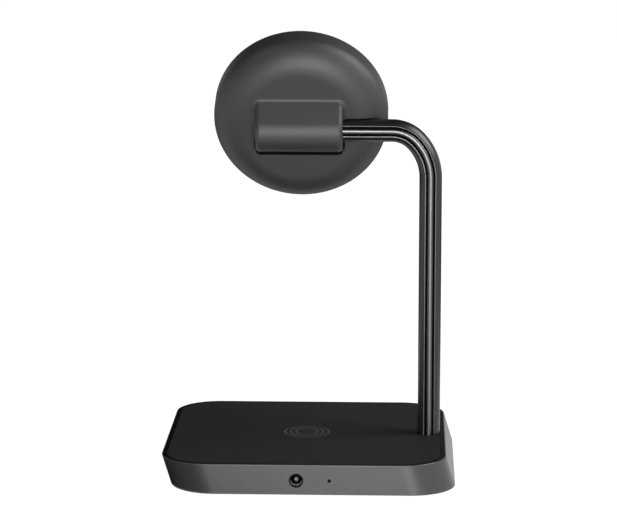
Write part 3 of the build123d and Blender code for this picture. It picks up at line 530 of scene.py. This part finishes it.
def cover_sheet(distance, wall, count):
    """A grid over the whole cover, from a square grid bent into the disc.

    Every grid point is a travel and a bearing on the dome. The square's points are spread by
    0.72 s + 0.28 s^3, which sets them closer over the block. A line from a point far in front of the disc
    through the place on the dome is followed until the signed distance is zero, found by halving 36 times.
    The grid's lines are square over the block and become rings towards the rim, which keeps to the dome."""
    square_part, turning_part, rim_part = 0.35, 0.45, 0.93
    nearest, farthest = 0.9, 2.2
    spread = np.linspace(-1, 1, count)
    spread = 0.72 * spread + 0.28 * spread**3
    a, b = np.meshgrid(spread, spread, indexing="ij")
    size = np.maximum(np.abs(a), np.abs(b))
    length = np.maximum(np.hypot(a, b), 1e-9)
    round_share = np.clip((size - square_part) / turning_part, 0, 1)
    round_share = round_share**2 * (3 - 2 * round_share)
    travel = DOME_TRAVEL * (length * (1 - round_share) + size * round_share)
    travel = np.where(size > 0.999999, DOME_TRAVEL, np.minimum(travel, DOME_TRAVEL))
    radius, depth = dome_point(travel, wall)
    x, y, z = radius * a / length, radius * b / length, depth
    eye = 30.0
    near, far = np.full(x.shape, nearest), np.full(x.shape, farthest)
    for _ in range(36):
        middle = (near + far) / 2
        inside = distance(x * middle, y * middle, eye + (z - eye) * middle) < 0
        near, far = np.where(inside, middle, near), np.where(inside, far, middle)
    reach = np.where(size > rim_part, 1.0, (near + far) / 2)
    return on_head(x * reach, y * reach, eye + (z - eye) * reach)


def make_cover():
    """The domed cover with its hinge block, closed by its inside and a narrow rim at the seam."""
    count, inner_count = 285, 96
    outer = cover_sheet(cover_outside, 0.0, count)
    inner = cover_sheet(cover_inside, COVER_WALL, inner_count)
    points = [outer.reshape(-1, 3), inner.reshape(-1, 3)]
    offset = count * count
    faces = grid_faces(count, count).tolist()
    faces += grid_faces(inner_count, inner_count, start=offset)[:, ::-1].tolist()

    def border(size, start):
        """Numbers of the border points of a square grid, in order round it."""
        index = np.arange(size * size).reshape(size, size) + start
        return np.concatenate([index[0, :-1], index[:-1, -1], index[-1, :0:-1], index[:0:-1, 0]])

    rim_out, rim_in = border(count, 0), border(inner_count, offset)
    place_out = np.arange(len(rim_out)) / len(rim_out)
    nearest = np.round(place_out * len(rim_in)).astype(int) % len(rim_in)
    following = np.roll(nearest, -1)
    for i in range(len(rim_out)):
        a, b = rim_out[i], rim_out[(i + 1) % len(rim_out)]
        c, d = rim_in[following[i]], rim_in[nearest[i]]
        faces.append([b, a, d] if c == d else [b, a, d, c])
    cover = mesh_piece("head_cover", np.concatenate(points), faces, "head", ("back_cover",), 38)
    channel_start = HEAD_X - HEAD_RADIUS - 2.0
    channel_length = CHANNEL_END - channel_start
    channel = rod_cutter((channel_start, 0, ARM_HEIGHT), (1, 0, 0), CHANNEL_RADIUS, channel_length)
    cut_away(cover, channel, 30)
    return cover


def make_painted_shade_line():
    """A black strip along the lower foot of the hinge block: painted shade for the dark crease where the
    block meets the dome.

    A low half-ellipse (-w cos t, h sin t) is carried along a straight run with a quarter turn and a short
    leg at each end, flat on the dome's level middle, at one clearance from the block."""
    half, height, root, clearance, leg = 0.5, 0.34, -0.3, 0.2, -5.0
    turn = BLOCK_EDGE + clearance
    low = -HEAD_RISE - BLOCK_RADIUS - UNDER_REACH - clearance
    quarter = np.linspace(0, pi / 2, 13)
    near, far = BLOCK_RIGHT + clearance - turn, BLOCK_LEFT - clearance + turn
    side = np.concatenate([[1.0], np.cos(quarter), -np.sin(quarter), [-1.0]])
    down = np.concatenate([[0.0], -np.sin(quarter), -np.cos(quarter), [0.0]])
    middle_x = np.repeat([near, far], len(quarter) + 1)
    middle_y = np.full(len(middle_x), low + turn)
    middle_y[[0, -1]] = leg
    t = np.linspace(0, pi, 9)
    across = np.concatenate([[-half], -half * np.cos(t), [half]])
    proud = np.concatenate([[root], height * np.sin(t), [root]])
    x = middle_x[:, None] + side[:, None] * (turn + across)
    y = middle_y[:, None] + down[:, None] * (turn + across)
    return capped_run("hinge_painted_shade_line", on_head(x, y, np.broadcast_to(-proud, x.shape)), "head", 40)


def make_painted_shade_band():
    """A black band that wraps the block's lower edge and follows its rounded ends: painted shade for the dark
    underside of the nose.

    With c the height over the cut and d the height under the flat underside, it follows c = r along the cut,
    (r cos w, r sin w) round the corner and d = r along the underside, a hair outside the cover. Towards each
    end r shrinks by e - sqrt(e^2 - (e - s)^2), for the end's radius e and a place s from the end. Its first
    edge lies below the cover's skin, and its back is sunk in the block."""
    place = np.array([0.08, 0.25, 0.5, 0.9, BLOCK_EDGE])
    sunk = BLOCK_EDGE - np.sqrt(BLOCK_EDGE**2 - (BLOCK_EDGE - place) ** 2)
    x = np.concatenate([BLOCK_LEFT + place, BLOCK_RIGHT - place[::-1]])[:, None]
    proud, first, second, sunk_to = 0.05, -1.95, -1.75, -2.0
    reach = (UNDER_CORNER + proud - np.concatenate([sunk, sunk[::-1]]))[:, None]
    turn = np.linspace(0, pi / 2, 9)
    ones = np.ones_like(reach)
    c = np.hstack([reach - 0.2, reach, reach * np.cos(turn), sunk_to * ones, sunk_to * ones, reach - 0.9])
    d = np.hstack([first * ones, second * ones, reach * np.sin(turn), reach, reach - 0.7, first * ones])
    up = -(d + BLOCK_RADIUS + UNDER_REACH - UNDER_CORNER)
    out = (c + BLOCK_RADIUS - UNDER_CORNER + up * sin(UNDER_CUT)) / cos(UNDER_CUT)
    return capped_run("hinge_painted_shade_band", on_head(x, up - HEAD_RISE, -out - HEAD_SETBACK), "head", 30)


def make_lip_highlight():
    """A plated arc round the bore's lower half, thin towards its ends: painted highlight for the pale
    crescent of light on the socket's lower lip.

    At a turn w below the level its outside has the bore's radius R, and its inside R - a - b sin w."""
    turn = np.linspace(LIP_END, pi - LIP_END, 33)
    inside = LIP_RADIUS - LIP_ROOT - LIP_WIDTH * np.sin(turn)
    outside = np.full(len(turn), LIP_RADIUS)
    reach = np.stack([outside, inside, inside, outside], -1)
    back = LIP_FRONT - LIP_LENGTH
    depth = np.broadcast_to([LIP_FRONT, LIP_FRONT, back, back], reach.shape)
    x = SOCKET_X + reach * np.cos(turn)[:, None]
    z = SOCKET_HEIGHT - reach * np.sin(turn)[:, None]
    return capped_run("socket_lip_painted_highlight", np.stack([x, depth, z], -1), "stand", 30)


def make_front():
    """The rim frame and the soft face pad: two profiles turned about the disc's axis."""
    ledge = FACE - 0.9
    rim = rounded_profile(
        [
            (HEAD_RADIUS, SEAM, 0.1),
            (HEAD_RADIUS, FACE, 1.0),
            (HEAD_RADIUS - RIM_WALL, FACE, 0.1),
            (HEAD_RADIUS - RIM_WALL, ledge, 0),
            (HEAD_RADIUS - RIM_LEDGE, ledge, 0),
            (HEAD_RADIUS - RIM_LEDGE, ledge - 1.0, 0),
            (HEAD_RADIUS - RIM_WALL, ledge - 1.0, 0),
            (HEAD_RADIUS - RIM_WALL, SEAM, 0),
        ],
        8,
    )
    grid = turned_on_head(rim, 240)
    frame_piece = mesh_piece(
        "head_rim", grid.reshape(-1, 3), grid_faces(*grid.shape[:2], True, True), "head", ("front_frame",), 30
    )
    pad_radius = HEAD_RADIUS - 1.8
    face = FACE + 0.3
    pad = rounded_profile(
        [(0.0, face, 0), (pad_radius, face, 0.3), (pad_radius, ledge, 0), (0.0, ledge, 0)], 5
    )
    grid = turned_on_head(pad, 160)
    pad_piece = mesh_piece(
        "head_face_pad", grid.reshape(-1, 3), grid_faces(*grid.shape[:2], True), "head", ("face_pad",), 30
    )
    return frame_piece, pad_piece


def add_node(tree, kind, settings=None, links=None):
    """Add a shader node, set its inputs or properties, and link its inputs from other nodes' outputs."""
    node = tree.nodes.new(kind)
    for key, value in (settings or {}).items():
        if isinstance(key, str) and hasattr(node, key):
            setattr(node, key, value)
        else:
            node.inputs[key].default_value = value
    for key, source in (links or {}).items():
        tree.links.new(source, node.inputs[key])
    return node


def new_material(name):
    """An empty node material with its output node."""
    material = bpy.data.materials.new(name)
    material.use_nodes = True
    tree = material.node_tree
    tree.nodes.clear()
    return material, tree, add_node(tree, "ShaderNodeOutputMaterial")


# Width of the broad mottling on every grainy surface, in millimetres
BROAD_MM = 9.0


def grainy(
    name, code, roughness, specular, grain_mm, height_mm, mottle=0.06, metallic=0.0, fleck=0.0, spread=0.05
):
    """A surface of one colour with broad mottling, fine flecks, a grain that stands up, and uneven gloss."""
    material, tree, output = new_material(name)
    place = add_node(tree, "ShaderNodeTexCoord")
    broad = add_node(
        tree,
        "ShaderNodeTexNoise",
        {"Scale": 1000 / BROAD_MM, "Detail": 3.0},
        {"Vector": place.outputs["Object"]},
    )
    fine = add_node(
        tree,
        "ShaderNodeTexNoise",
        {"Scale": 1000 / grain_mm, "Detail": 2.0, "Roughness": 0.6},
        {"Vector": place.outputs["Object"]},
    )
    colour = linear(code)
    fleck_weight = fleck / max(mottle, 0.001)
    both = add_node(
        tree,
        "ShaderNodeMath",
        {"operation": "MULTIPLY_ADD", 1: fleck_weight},
        {0: fine.outputs["Fac"], 2: broad.outputs["Fac"]},
    )
    tint = add_node(
        tree,
        "ShaderNodeMapRange",
        {
            "data_type": "FLOAT_VECTOR",
            7: [0.2] * 3,
            8: [0.8 + fleck_weight] * 3,
            9: [c * (1 - mottle - fleck) for c in colour[:3]],
            10: [c * (1 + mottle + fleck) for c in colour[:3]],
        },
        {6: both.outputs[0]},
    )
    gloss = add_node(
        tree,
        "ShaderNodeMapRange",
        {"To Min": roughness - spread, "To Max": roughness + spread},
        {"Value": fine.outputs["Fac"]},
    )
    bump = add_node(
        tree,
        "ShaderNodeBump",
        {"Strength": 1.0, "Distance": height_mm * MM},
        {"Height": fine.outputs["Fac"]},
    )
    shader = add_node(
        tree,
        "ShaderNodeBsdfPrincipled",
        {"Metallic": metallic, "Specular IOR Level": specular},
        {
            "Base Color": tint.outputs[1],
            "Roughness": gloss.outputs["Result"],
            "Normal": bump.outputs["Normal"],
        },
    )
    tree.links.new(shader.outputs["BSDF"], output.inputs["Surface"])
    return material


def worked_metal(name, code, roughness, line_mm, stretch=(1.0, 1.0, 1.0), height_mm=0.004, streak=0.12):
    """Bare or plated metal with tool marks: noise of one line width, drawn out along each low stretch."""
    material, tree, output = new_material(name)
    place = add_node(tree, "ShaderNodeTexCoord")
    drawn = add_node(tree, "ShaderNodeMapping", {"Scale": stretch}, {"Vector": place.outputs["Object"]})
    marks = add_node(
        tree,
        "ShaderNodeTexNoise",
        {"Scale": 1000 / line_mm, "Detail": 3.0, "Roughness": 0.55},
        {"Vector": drawn.outputs["Vector"]},
    )
    colour = linear(code)
    tint = add_node(
        tree,
        "ShaderNodeMix",
        {
            "data_type": "RGBA",
            6: [c * (1 - streak) for c in colour[:3]] + [1.0],
            7: [min(c * (1 + streak), 1.0) for c in colour[:3]] + [1.0],
        },
        {0: marks.outputs["Fac"]},
    )
    gloss = add_node(
        tree,
        "ShaderNodeMapRange",
        {"To Min": max(roughness - 0.08, 0.04), "To Max": roughness + 0.1},
        {"Value": marks.outputs["Fac"]},
    )
    bump = add_node(
        tree,
        "ShaderNodeBump",
        {"Strength": 1.0, "Distance": height_mm * MM},
        {"Height": marks.outputs["Fac"]},
    )
    shader = add_node(
        tree,
        "ShaderNodeBsdfPrincipled",
        {"Metallic": 1.0},
        {
            "Base Color": tint.outputs[2],
            "Roughness": gloss.outputs["Result"],
            "Normal": bump.outputs["Normal"],
        },
    )
    tree.links.new(shader.outputs["BSDF"], output.inputs["Surface"])
    return material


def wound_wire(name, code, pitch_mm, middle, lean):
    """Enamelled copper wire wound flat: rings of one wire pitch about a coil's axis, as colour and as a bump.

    The rings are a sine of the distance from the axis, so the pattern's scale is pi / (10 * pitch). The turns
    are real; the colour's fall to about a third in the low valleys between them is painted shade."""
    material, tree, output = new_material(name)
    place = add_node(tree, "ShaderNodeTexCoord")
    on_coil = add_node(
        tree,
        "ShaderNodeMapping",
        {"vector_type": "TEXTURE", "Location": [c * MM for c in middle], "Rotation": (lean, 0.0, 0.0)},
        {"Vector": place.outputs["Object"]},
    )
    rings = add_node(
        tree,
        "ShaderNodeTexWave",
        {"wave_type": "RINGS", "rings_direction": "Z", "Scale": pi / (10 * pitch_mm * MM)},
        {"Vector": on_coil.outputs["Vector"]},
    )
    bright = linear(code)
    tint = add_node(
        tree,
        "ShaderNodeMix",
        {"data_type": "RGBA", 6: [c * 0.35 for c in bright[:3]] + [1.0], 7: bright},
        {0: rings.outputs["Fac"]},
    )
    bump = add_node(
        tree,
        "ShaderNodeBump",
        {"Strength": 1.0, "Distance": pitch_mm * 0.3 * MM},
        {"Height": rings.outputs["Fac"]},
    )
    shader = add_node(
        tree,
        "ShaderNodeBsdfPrincipled",
        {"Metallic": 1.0, "Roughness": 0.3},
        {"Base Color": tint.outputs[2], "Normal": bump.outputs["Normal"]},
    )
    tree.links.new(shader.outputs["BSDF"], output.inputs["Surface"])
    return material


def circuit_board(name, mask_code, track_code):
    """Glass-epoxy board under solder mask: copper tracks about 0.6 mm wide show as lighter, raised lines."""
    material, tree, output = new_material(name)
    place = add_node(tree, "ShaderNodeTexCoord")
    cells = add_node(
        tree,
        "ShaderNodeTexVoronoi",
        {"distance": "MANHATTAN", "feature": "F1", "Scale": 1000 / 2.4, "Randomness": 0.7},
        {"Vector": place.outputs["Object"]},
    )
    tracks = add_node(
        tree,
        "ShaderNodeMapRange",
        {"interpolation_type": "SMOOTHSTEP", "From Min": 0.42, "From Max": 0.5},
        {"Value": cells.outputs["Distance"]},
    )
    tint = add_node(
        tree,
        "ShaderNodeMix",
        {"data_type": "RGBA", 6: linear(mask_code), 7: linear(track_code)},
        {0: tracks.outputs["Result"]},
    )
    bump = add_node(
        tree, "ShaderNodeBump", {"Strength": 1.0, "Distance": 0.03 * MM}, {"Height": tracks.outputs["Result"]}
    )
    shader = add_node(
        tree,
        "ShaderNodeBsdfPrincipled",
        {"Roughness": 0.32, "Specular IOR Level": 0.5},
        {"Base Color": tint.outputs[2], "Normal": bump.outputs["Normal"]},
    )
    tree.links.new(shader.outputs["BSDF"], output.inputs["Surface"])
    return material


def dress(piece, material):
    """Give a piece one material."""
    piece.data.materials.clear()
    piece.data.materials.append(material)


def make_camera():
    """A long lens 0.95 m behind the charger, looking down at it by 10 degrees, with no roll and no shift."""
    camera = bpy.data.objects.new("camera", bpy.data.cameras.new("camera"))
    camera.data.sensor_width = 36.0
    camera.data.lens = 156.81
    camera.data.clip_start = 0.05
    right = Vector((-0.99934, -0.03629, 0.0)).normalized()
    forward = Vector((0.0357, -0.9829, -0.1809)).normalized()
    up = right.cross(forward).normalized()
    camera.matrix_world = Matrix(
        (
            (right.x, up.x, -forward.x, -0.03332),
            (right.y, up.y, -forward.y, 0.9480),
            (right.z, up.z, -forward.z, 0.2471),
            (0, 0, 0, 1),
        )
    )
    bpy.context.scene.collection.objects.link(camera)
    bpy.context.scene.camera = camera


def softbox(name, place, target, width, height, power):
    """A flat rectangular lamp at a place, turned to face a target."""
    lamp = bpy.data.objects.new(name, bpy.data.lights.new(name, "AREA"))
    lamp.data.shape = "RECTANGLE"
    lamp.data.size = width
    lamp.data.size_y = height
    lamp.data.energy = power
    lamp.location = place
    lamp.rotation_euler = (Vector(target) - Vector(place)).to_track_quat("-Z", "Y").to_euler()
    bpy.context.scene.collection.objects.link(lamp)


def reflected_card(name, corners):
    """A flat card that shows in reflections alone: it carries no light and throws no shadow on the floor."""
    mesh = bpy.data.meshes.new(name)
    mesh.from_pydata(corners, [], [tuple(range(len(corners)))])
    card = bpy.data.objects.new(name, mesh)
    bpy.context.scene.collection.objects.link(card)
    material, tree, output = new_material(name)
    mesh.materials.append(material)
    card.visible_camera = card.visible_diffuse = card.visible_transmission = card.visible_shadow = False
    return tree, output


def black_card(name, corners):
    """A matte black card beside the object, which a studio uses to keep a dark edge on dark things."""
    tree, output = reflected_card(name, corners)
    felt = add_node(tree, "ShaderNodeBsdfDiffuse", {"Color": linear("101010")})
    tree.links.new(felt.outputs[0], output.inputs["Surface"])


def shaded_card(name, middle, dark_reach, reach):
    """A round card on the floor, black in the middle and as bright as the floor at its rim, so no edge shows.

    Its brightness grows smoothly with the distance from the middle, from the dark reach to the rim."""
    sides = 48
    turn = np.arange(sides) * 2 * pi / sides
    rim = np.stack([np.cos(turn) * reach, np.sin(turn) * reach, 0 * turn], -1) + middle
    tree, output = reflected_card(name, rim.tolist())
    place = add_node(tree, "ShaderNodeTexCoord")
    away = add_node(
        tree, "ShaderNodeVectorMath", {"operation": "DISTANCE", 1: middle}, {0: place.outputs["Object"]}
    )
    level = add_node(
        tree,
        "ShaderNodeMapRange",
        {
            "interpolation_type": "SMOOTHSTEP",
            "From Min": dark_reach,
            "From Max": reach,
            "To Max": FLOOR_GLOW,
        },
        {"Value": away.outputs["Value"]},
    )
    light = add_node(
        tree, "ShaderNodeEmission", {"Color": linear("FFFFFF")}, {"Strength": level.outputs["Result"]}
    )
    tree.links.new(light.outputs[0], output.inputs["Surface"])


def seen_directly(tree):
    """One where a camera, mirror or clear-glass ray looks, and zero for the rays that carry light."""
    path = add_node(tree, "ShaderNodeLightPath")
    first = add_node(
        tree,
        "ShaderNodeMath",
        {"operation": "MAXIMUM"},
        {0: path.outputs["Is Camera Ray"], 1: path.outputs["Is Glossy Ray"]},
    )
    return add_node(
        tree,
        "ShaderNodeMath",
        {"operation": "MAXIMUM"},
        {0: first.outputs[0], 1: path.outputs["Is Transmission Ray"]},
    )


def make_studio():
    """Pale floor and white surroundings under a dark ceiling, three soft lamps and three cards.

    The key lamp is behind the camera, one lamp is at its right and a weak fill is at its left. The cards are
    at the object's left, on the floor there, and on the floor behind the object."""
    scene = bpy.context.scene
    scene.view_settings.view_transform = "Standard"
    world = bpy.data.worlds.new("studio")
    scene.world = world
    world.use_nodes = True
    tree = world.node_tree
    tree.nodes.clear()
    output = add_node(tree, "ShaderNodeOutputWorld")
    way = add_node(tree, "ShaderNodeTexCoord")
    parts = add_node(tree, "ShaderNodeSeparateXYZ", {}, {0: way.outputs["Generated"]})
    backdrop = add_node(
        tree,
        "ShaderNodeMapRange",
        {
            "interpolation_type": "SMOOTHSTEP",
            "From Min": 0.08,
            "From Max": 0.26,
            "To Min": 1.0,
            "To Max": CEILING,
        },
        {"Value": parts.outputs["Z"]},
    )
    level = add_node(
        tree,
        "ShaderNodeMix",
        {"data_type": "FLOAT", 2: SOFT_LEVEL},
        {0: seen_directly(tree).outputs[0], 3: backdrop.outputs["Result"]},
    )
    background = add_node(
        tree, "ShaderNodeBackground", {"Color": linear("FFFFFF")}, {"Strength": level.outputs[0]}
    )
    tree.links.new(background.outputs[0], output.inputs["Surface"])

    side = 6.0
    mesh = bpy.data.meshes.new("floor")
    corners = [(-side, -side, 0), (side, -side, 0), (side, side, 0), (-side, side, 0)]
    mesh.from_pydata(corners, [], [(0, 1, 2, 3)])
    floor = bpy.data.objects.new("floor", mesh)
    scene.collection.objects.link(floor)
    material, tree, output = new_material("pale_paper_floor")
    paper = add_node(tree, "ShaderNodeBsdfDiffuse", {"Color": linear("606060")})
    white = [FLOOR_GLOW] * 3 + [1.0]
    seen = seen_directly(tree)
    glow = add_node(tree, "ShaderNodeEmission", {"Color": white}, {"Strength": seen.outputs[0]})
    shown = add_node(tree, "ShaderNodeAddShader", {}, {0: paper.outputs[0], 1: glow.outputs[0]})
    tree.links.new(shown.outputs[0], output.inputs["Surface"])
    floor.data.materials.append(material)

    middle = (0, 0, 0.09)
    softbox("key", (-0.13, 1.30, 0.11), middle, 0.5, 0.4, 23.4)
    softbox("right_light", (-0.98, 0.09, 0.86), middle, 0.8, 0.8, 18.5)
    black_card("left_card", [(0.15, -0.20, 0), (0.06, -0.45, 0), (0.06, -0.45, 0.14), (0.15, -0.20, 0.14)])
    shaded_card("left_floor_card", (0.078, 0.048, 0.001), 0.03, 0.08)
    rear_floor = [(-0.6, -1.6, 0.001), (0.6, -1.6, 0.001), (0.6, -0.14, 0.001), (-0.6, -0.14, 0.001)]
    black_card("rear_floor_card", rear_floor)
    softbox("left_fill", (0.70, 0.40, 1.05), middle, 0.5, 0.5, 2.0)


make_camera()
casing, trim = make_base()
tube, groove_floor, bead = make_arm()
cover = make_cover()
# Painted shade: two black strips along the hinge block's lower edge stand in for the dark crease and the
# nose's dark underside.
painted_shade_line = make_painted_shade_line()
painted_shade_band = make_painted_shade_band()
lip_highlight = make_lip_highlight()
rim, pad = make_front()

# Grain widths are in millimetres. The real grains are mostly about 0.1 mm, too fine to show in the render, so
# they are drawn 2 to 8 times as coarse. The coils' turns are drawn 0.9 mm apart for the same reason.

# Aluminium, bead-blasted and anodised dark grey: fine bright grain, a soft sheen that shows the lamps' edges
blasted = grainy("blasted_anodised_aluminium", "404042", 0.37, 0.45, 0.55, 0.012, 0.03, 0.4, 0.1, 0.06)
# Polycarbonate trim, polished mould: near black, with little to see but its edges
trim_black = grainy("polished_black_polycarbonate", "030303", 0.45, 0.06, 0.5, 0.001, 0.05)
# Soft-touch paint on the plate: dark, dead matte, the lamps spread into nothing
plate_matte = grainy("soft_touch_painted_plate", "1E1E20", 0.7, 0.15, 0.5, 0.006, 0.04, 0.0, 0.03)
# Screen-printed ink, a little lighter and drier than the plate
mark_ink = grainy("screen_printed_grey_ink", "56565A", 0.75, 0.1, 0.4, 0.003, 0.04)
# Silicone rubber foot, moulded: dull and dusty
foot_rubber = grainy("moulded_silicone_rubber", "121212", 0.85, 0.15, 0.6, 0.02, 0.1)
# Steel tube in satin black paint: smooth, with a soft long highlight
tube_paint = grainy("satin_black_painted_steel", "0A0A0B", 0.36, 0.5, 0.45, 0.002, 0.05)
# Extruded gloss black strip: one narrow pale line along its crown, where it mirrors the lamp
bead_gloss = grainy("gloss_black_extrusion", "020202", 0.34, 1.0, 0.5, 0.0004, 0.04, spread=0.02)
# The strip's foot, as extruded and unpolished: it stays dark between the groove's lips
foot_matte = grainy("unpolished_black_extrusion", "020202", 0.8, 0.03, 0.5, 0.002, 0.05)
# ABS with a spark-eroded mould grain: an even dark grey that goes soft and pale where it faces a lamp
head_abs = grainy("spark_eroded_black_abs", "1B1B1B", 0.56, 0.62, 0.4, 0.008, 0.04, 0.0, 0.03)
# Dead matte black for two strips along the hinge block's lower edge: painted shade for the dark crease and
# the nose's underside
painted_shade_black = grainy("painted_shade_black_matte", "0C0C0C", 0.9, 0.02, 0.4, 0.01, 0.1)
# Silicone pad for the phone: matte, slightly mottled
pad_silicone = grainy("matte_silicone_pad", "161617", 0.7, 0.3, 0.5, 0.01, 0.06)

finishes = {
    "casing": blasted,
    "trim": trim_black,
    "plate": plate_matte,
    "mark": mark_ink,
    "foot": foot_rubber,
    "arm": tube_paint,
    "strip": bead_gloss,
    "head_plastic": head_abs,
    "rim": head_abs,
    "pad": pad_silicone,
    # ABS bottom cover, moulded with a light grain
    "base_plastic": grainy("grained_black_abs", "1A1A1B", 0.6, 0.4, 0.5, 0.02, 0.06),
    # Glass-filled nylon carriers: dull, with pale fibre flecks
    "frame_plastic": grainy("glass_filled_black_nylon", "202021", 0.6, 0.4, 0.4, 0.01, 0.05, 0.0, 0.2),
    # Zinc-plated steel screws: cool and bright, with turning marks round the head
    "screw": worked_metal("zinc_plated_steel", "A6A6AA", 0.3, 0.3),
    # Sheared steel plate with rolling marks along its length
    "ballast": worked_metal("rolled_steel_plate", "6E6C6A", 0.5, 0.8, (0.12, 1.0, 1.0), 0.01, 0.2),
    # Green solder mask on glass epoxy: glossy, with the copper tracks as paler raised lines
    "board": circuit_board("green_solder_mask_board", "0D3A22", "1B5C36"),
    # Pressed iron powder, dry and speckled
    "inductor": grainy("pressed_iron_powder", "3A3A3C", 0.75, 0.3, 0.25, 0.02, 0.05, 0.0, 0.25),
    # Transfer-moulded epoxy packages: flat black with a faint haze
    "chip": grainy("moulded_epoxy_package", "141414", 0.5, 0.5, 0.2, 0.004, 0.05),
    # Fired ceramic capacitors: tan, close-grained
    "capacitor": grainy("fired_tan_ceramic", "A08058", 0.45, 0.5, 0.2, 0.003, 0.06, 0.0, 0.06),
    # Natural nylon connectors: off-white and waxy
    "connector": grainy("natural_nylon", "D6D2C4", 0.45, 0.5, 0.6, 0.004, 0.04),
    # Thermoplastic polyester socket: dull black, a little paler where the lamp reaches into its bore
    "jack": grainy("moulded_black_polyester", "19191A", 0.6, 0.15, 0.4, 0.002, 0.05),
    # Nickel-plated brass pin and contacts: a dull grey shine, drawn along Y
    "plated": worked_metal("nickel_plated_brass", "5E5E5E", 0.5, 0.3, (1.0, 0.2, 1.0), 0.001, 0.06),
    # Light pipe, near black and almost without shine: painted shade for the dark pinhole in the back wall
    "light_pipe": grainy("light_pipe_painted_shade_black", "010101", 0.5, 0.03, 0.5, 0.001, 0.04),
    # Epoxy body of the light, milky with fine filler
    "led": grainy("milky_epoxy", "E0DCD0", 0.3, 0.5, 0.3, 0.002, 0.05),
    # Enamelled copper wire, wound flat: warm and bright, in fine rings, with painted shade in the valleys
    # between turns
    "copper": wound_wire("enamelled_copper_base_coil", "B87045", 0.9, (1.65, 0.0, 0.0), 0.0),
    # Sintered ferrite: dark grey, hard and finely pitted
    "ferrite": grainy("sintered_ferrite", "2A2A2D", 0.5, 0.5, 0.3, 0.01, 0.06, 0.0, 0.1),
    # Zinc die casting of the socket under the tube: grey, orange-peel skin
    "socket_metal": worked_metal("zinc_die_casting", "9A9A9C", 0.42, 0.9, (1.0, 1.0, 1.0), 0.02, 0.1),
    # Jacket of the lead, extruded soft plastic
    "lead": grainy("extruded_lead_jacket", "141415", 0.55, 0.4, 0.8, 0.004, 0.06),
    # Turned and pressed steel of the hinge, marks running round the pin
    "hinge_steel": worked_metal("turned_hinge_steel", "9C9A98", 0.33, 0.25, (1.0, 0.2, 0.2), 0.003, 0.1),
    # Acetal friction washers: white and waxy
    "washer": grainy("white_acetal", "D2D0C6", 0.4, 0.5, 0.5, 0.002, 0.03),
    # Nickel-plated magnets: bright, slightly warm, dead smooth
    "magnet": worked_metal("nickel_plated_magnet", "B4B1AA", 0.22, 0.6, (1.0, 1.0, 1.0), 0.001, 0.05),
    # Tinned steel shield with rolling marks across
    "shield": worked_metal("tinned_steel_sheet", "ABABAB", 0.35, 0.5, (0.15, 1.0, 1.0), 0.003, 0.1),
}
# The head coil's rings carry the same painted shade in the valleys between turns.
head_coil = wound_wire("enamelled_copper_head_coil", "B87045", 0.9, HEAD_CENTRE, pi / 2 - HEAD_LEAN)

for part in frame["record"]["subparts"]:
    dress(nodes[part["node"]], finishes[part["material_slot"]])
dress(nodes["charging_coil"], head_coil)

dress(casing, blasted)
dress(trim, trim_black)
dress(tube, tube_paint)
dress(groove_floor, foot_matte)
dress(bead, bead_gloss)
dress(cover, head_abs)
# These two black strips are painted shade under the hinge block.
dress(painted_shade_line, painted_shade_black)
dress(painted_shade_band, painted_shade_black)
# Plated metal on the lower lip only: painted highlight.
dress(lip_highlight, finishes["plated"])
dress(rim, head_abs)
dress(pad, pad_silicone)

make_studio()
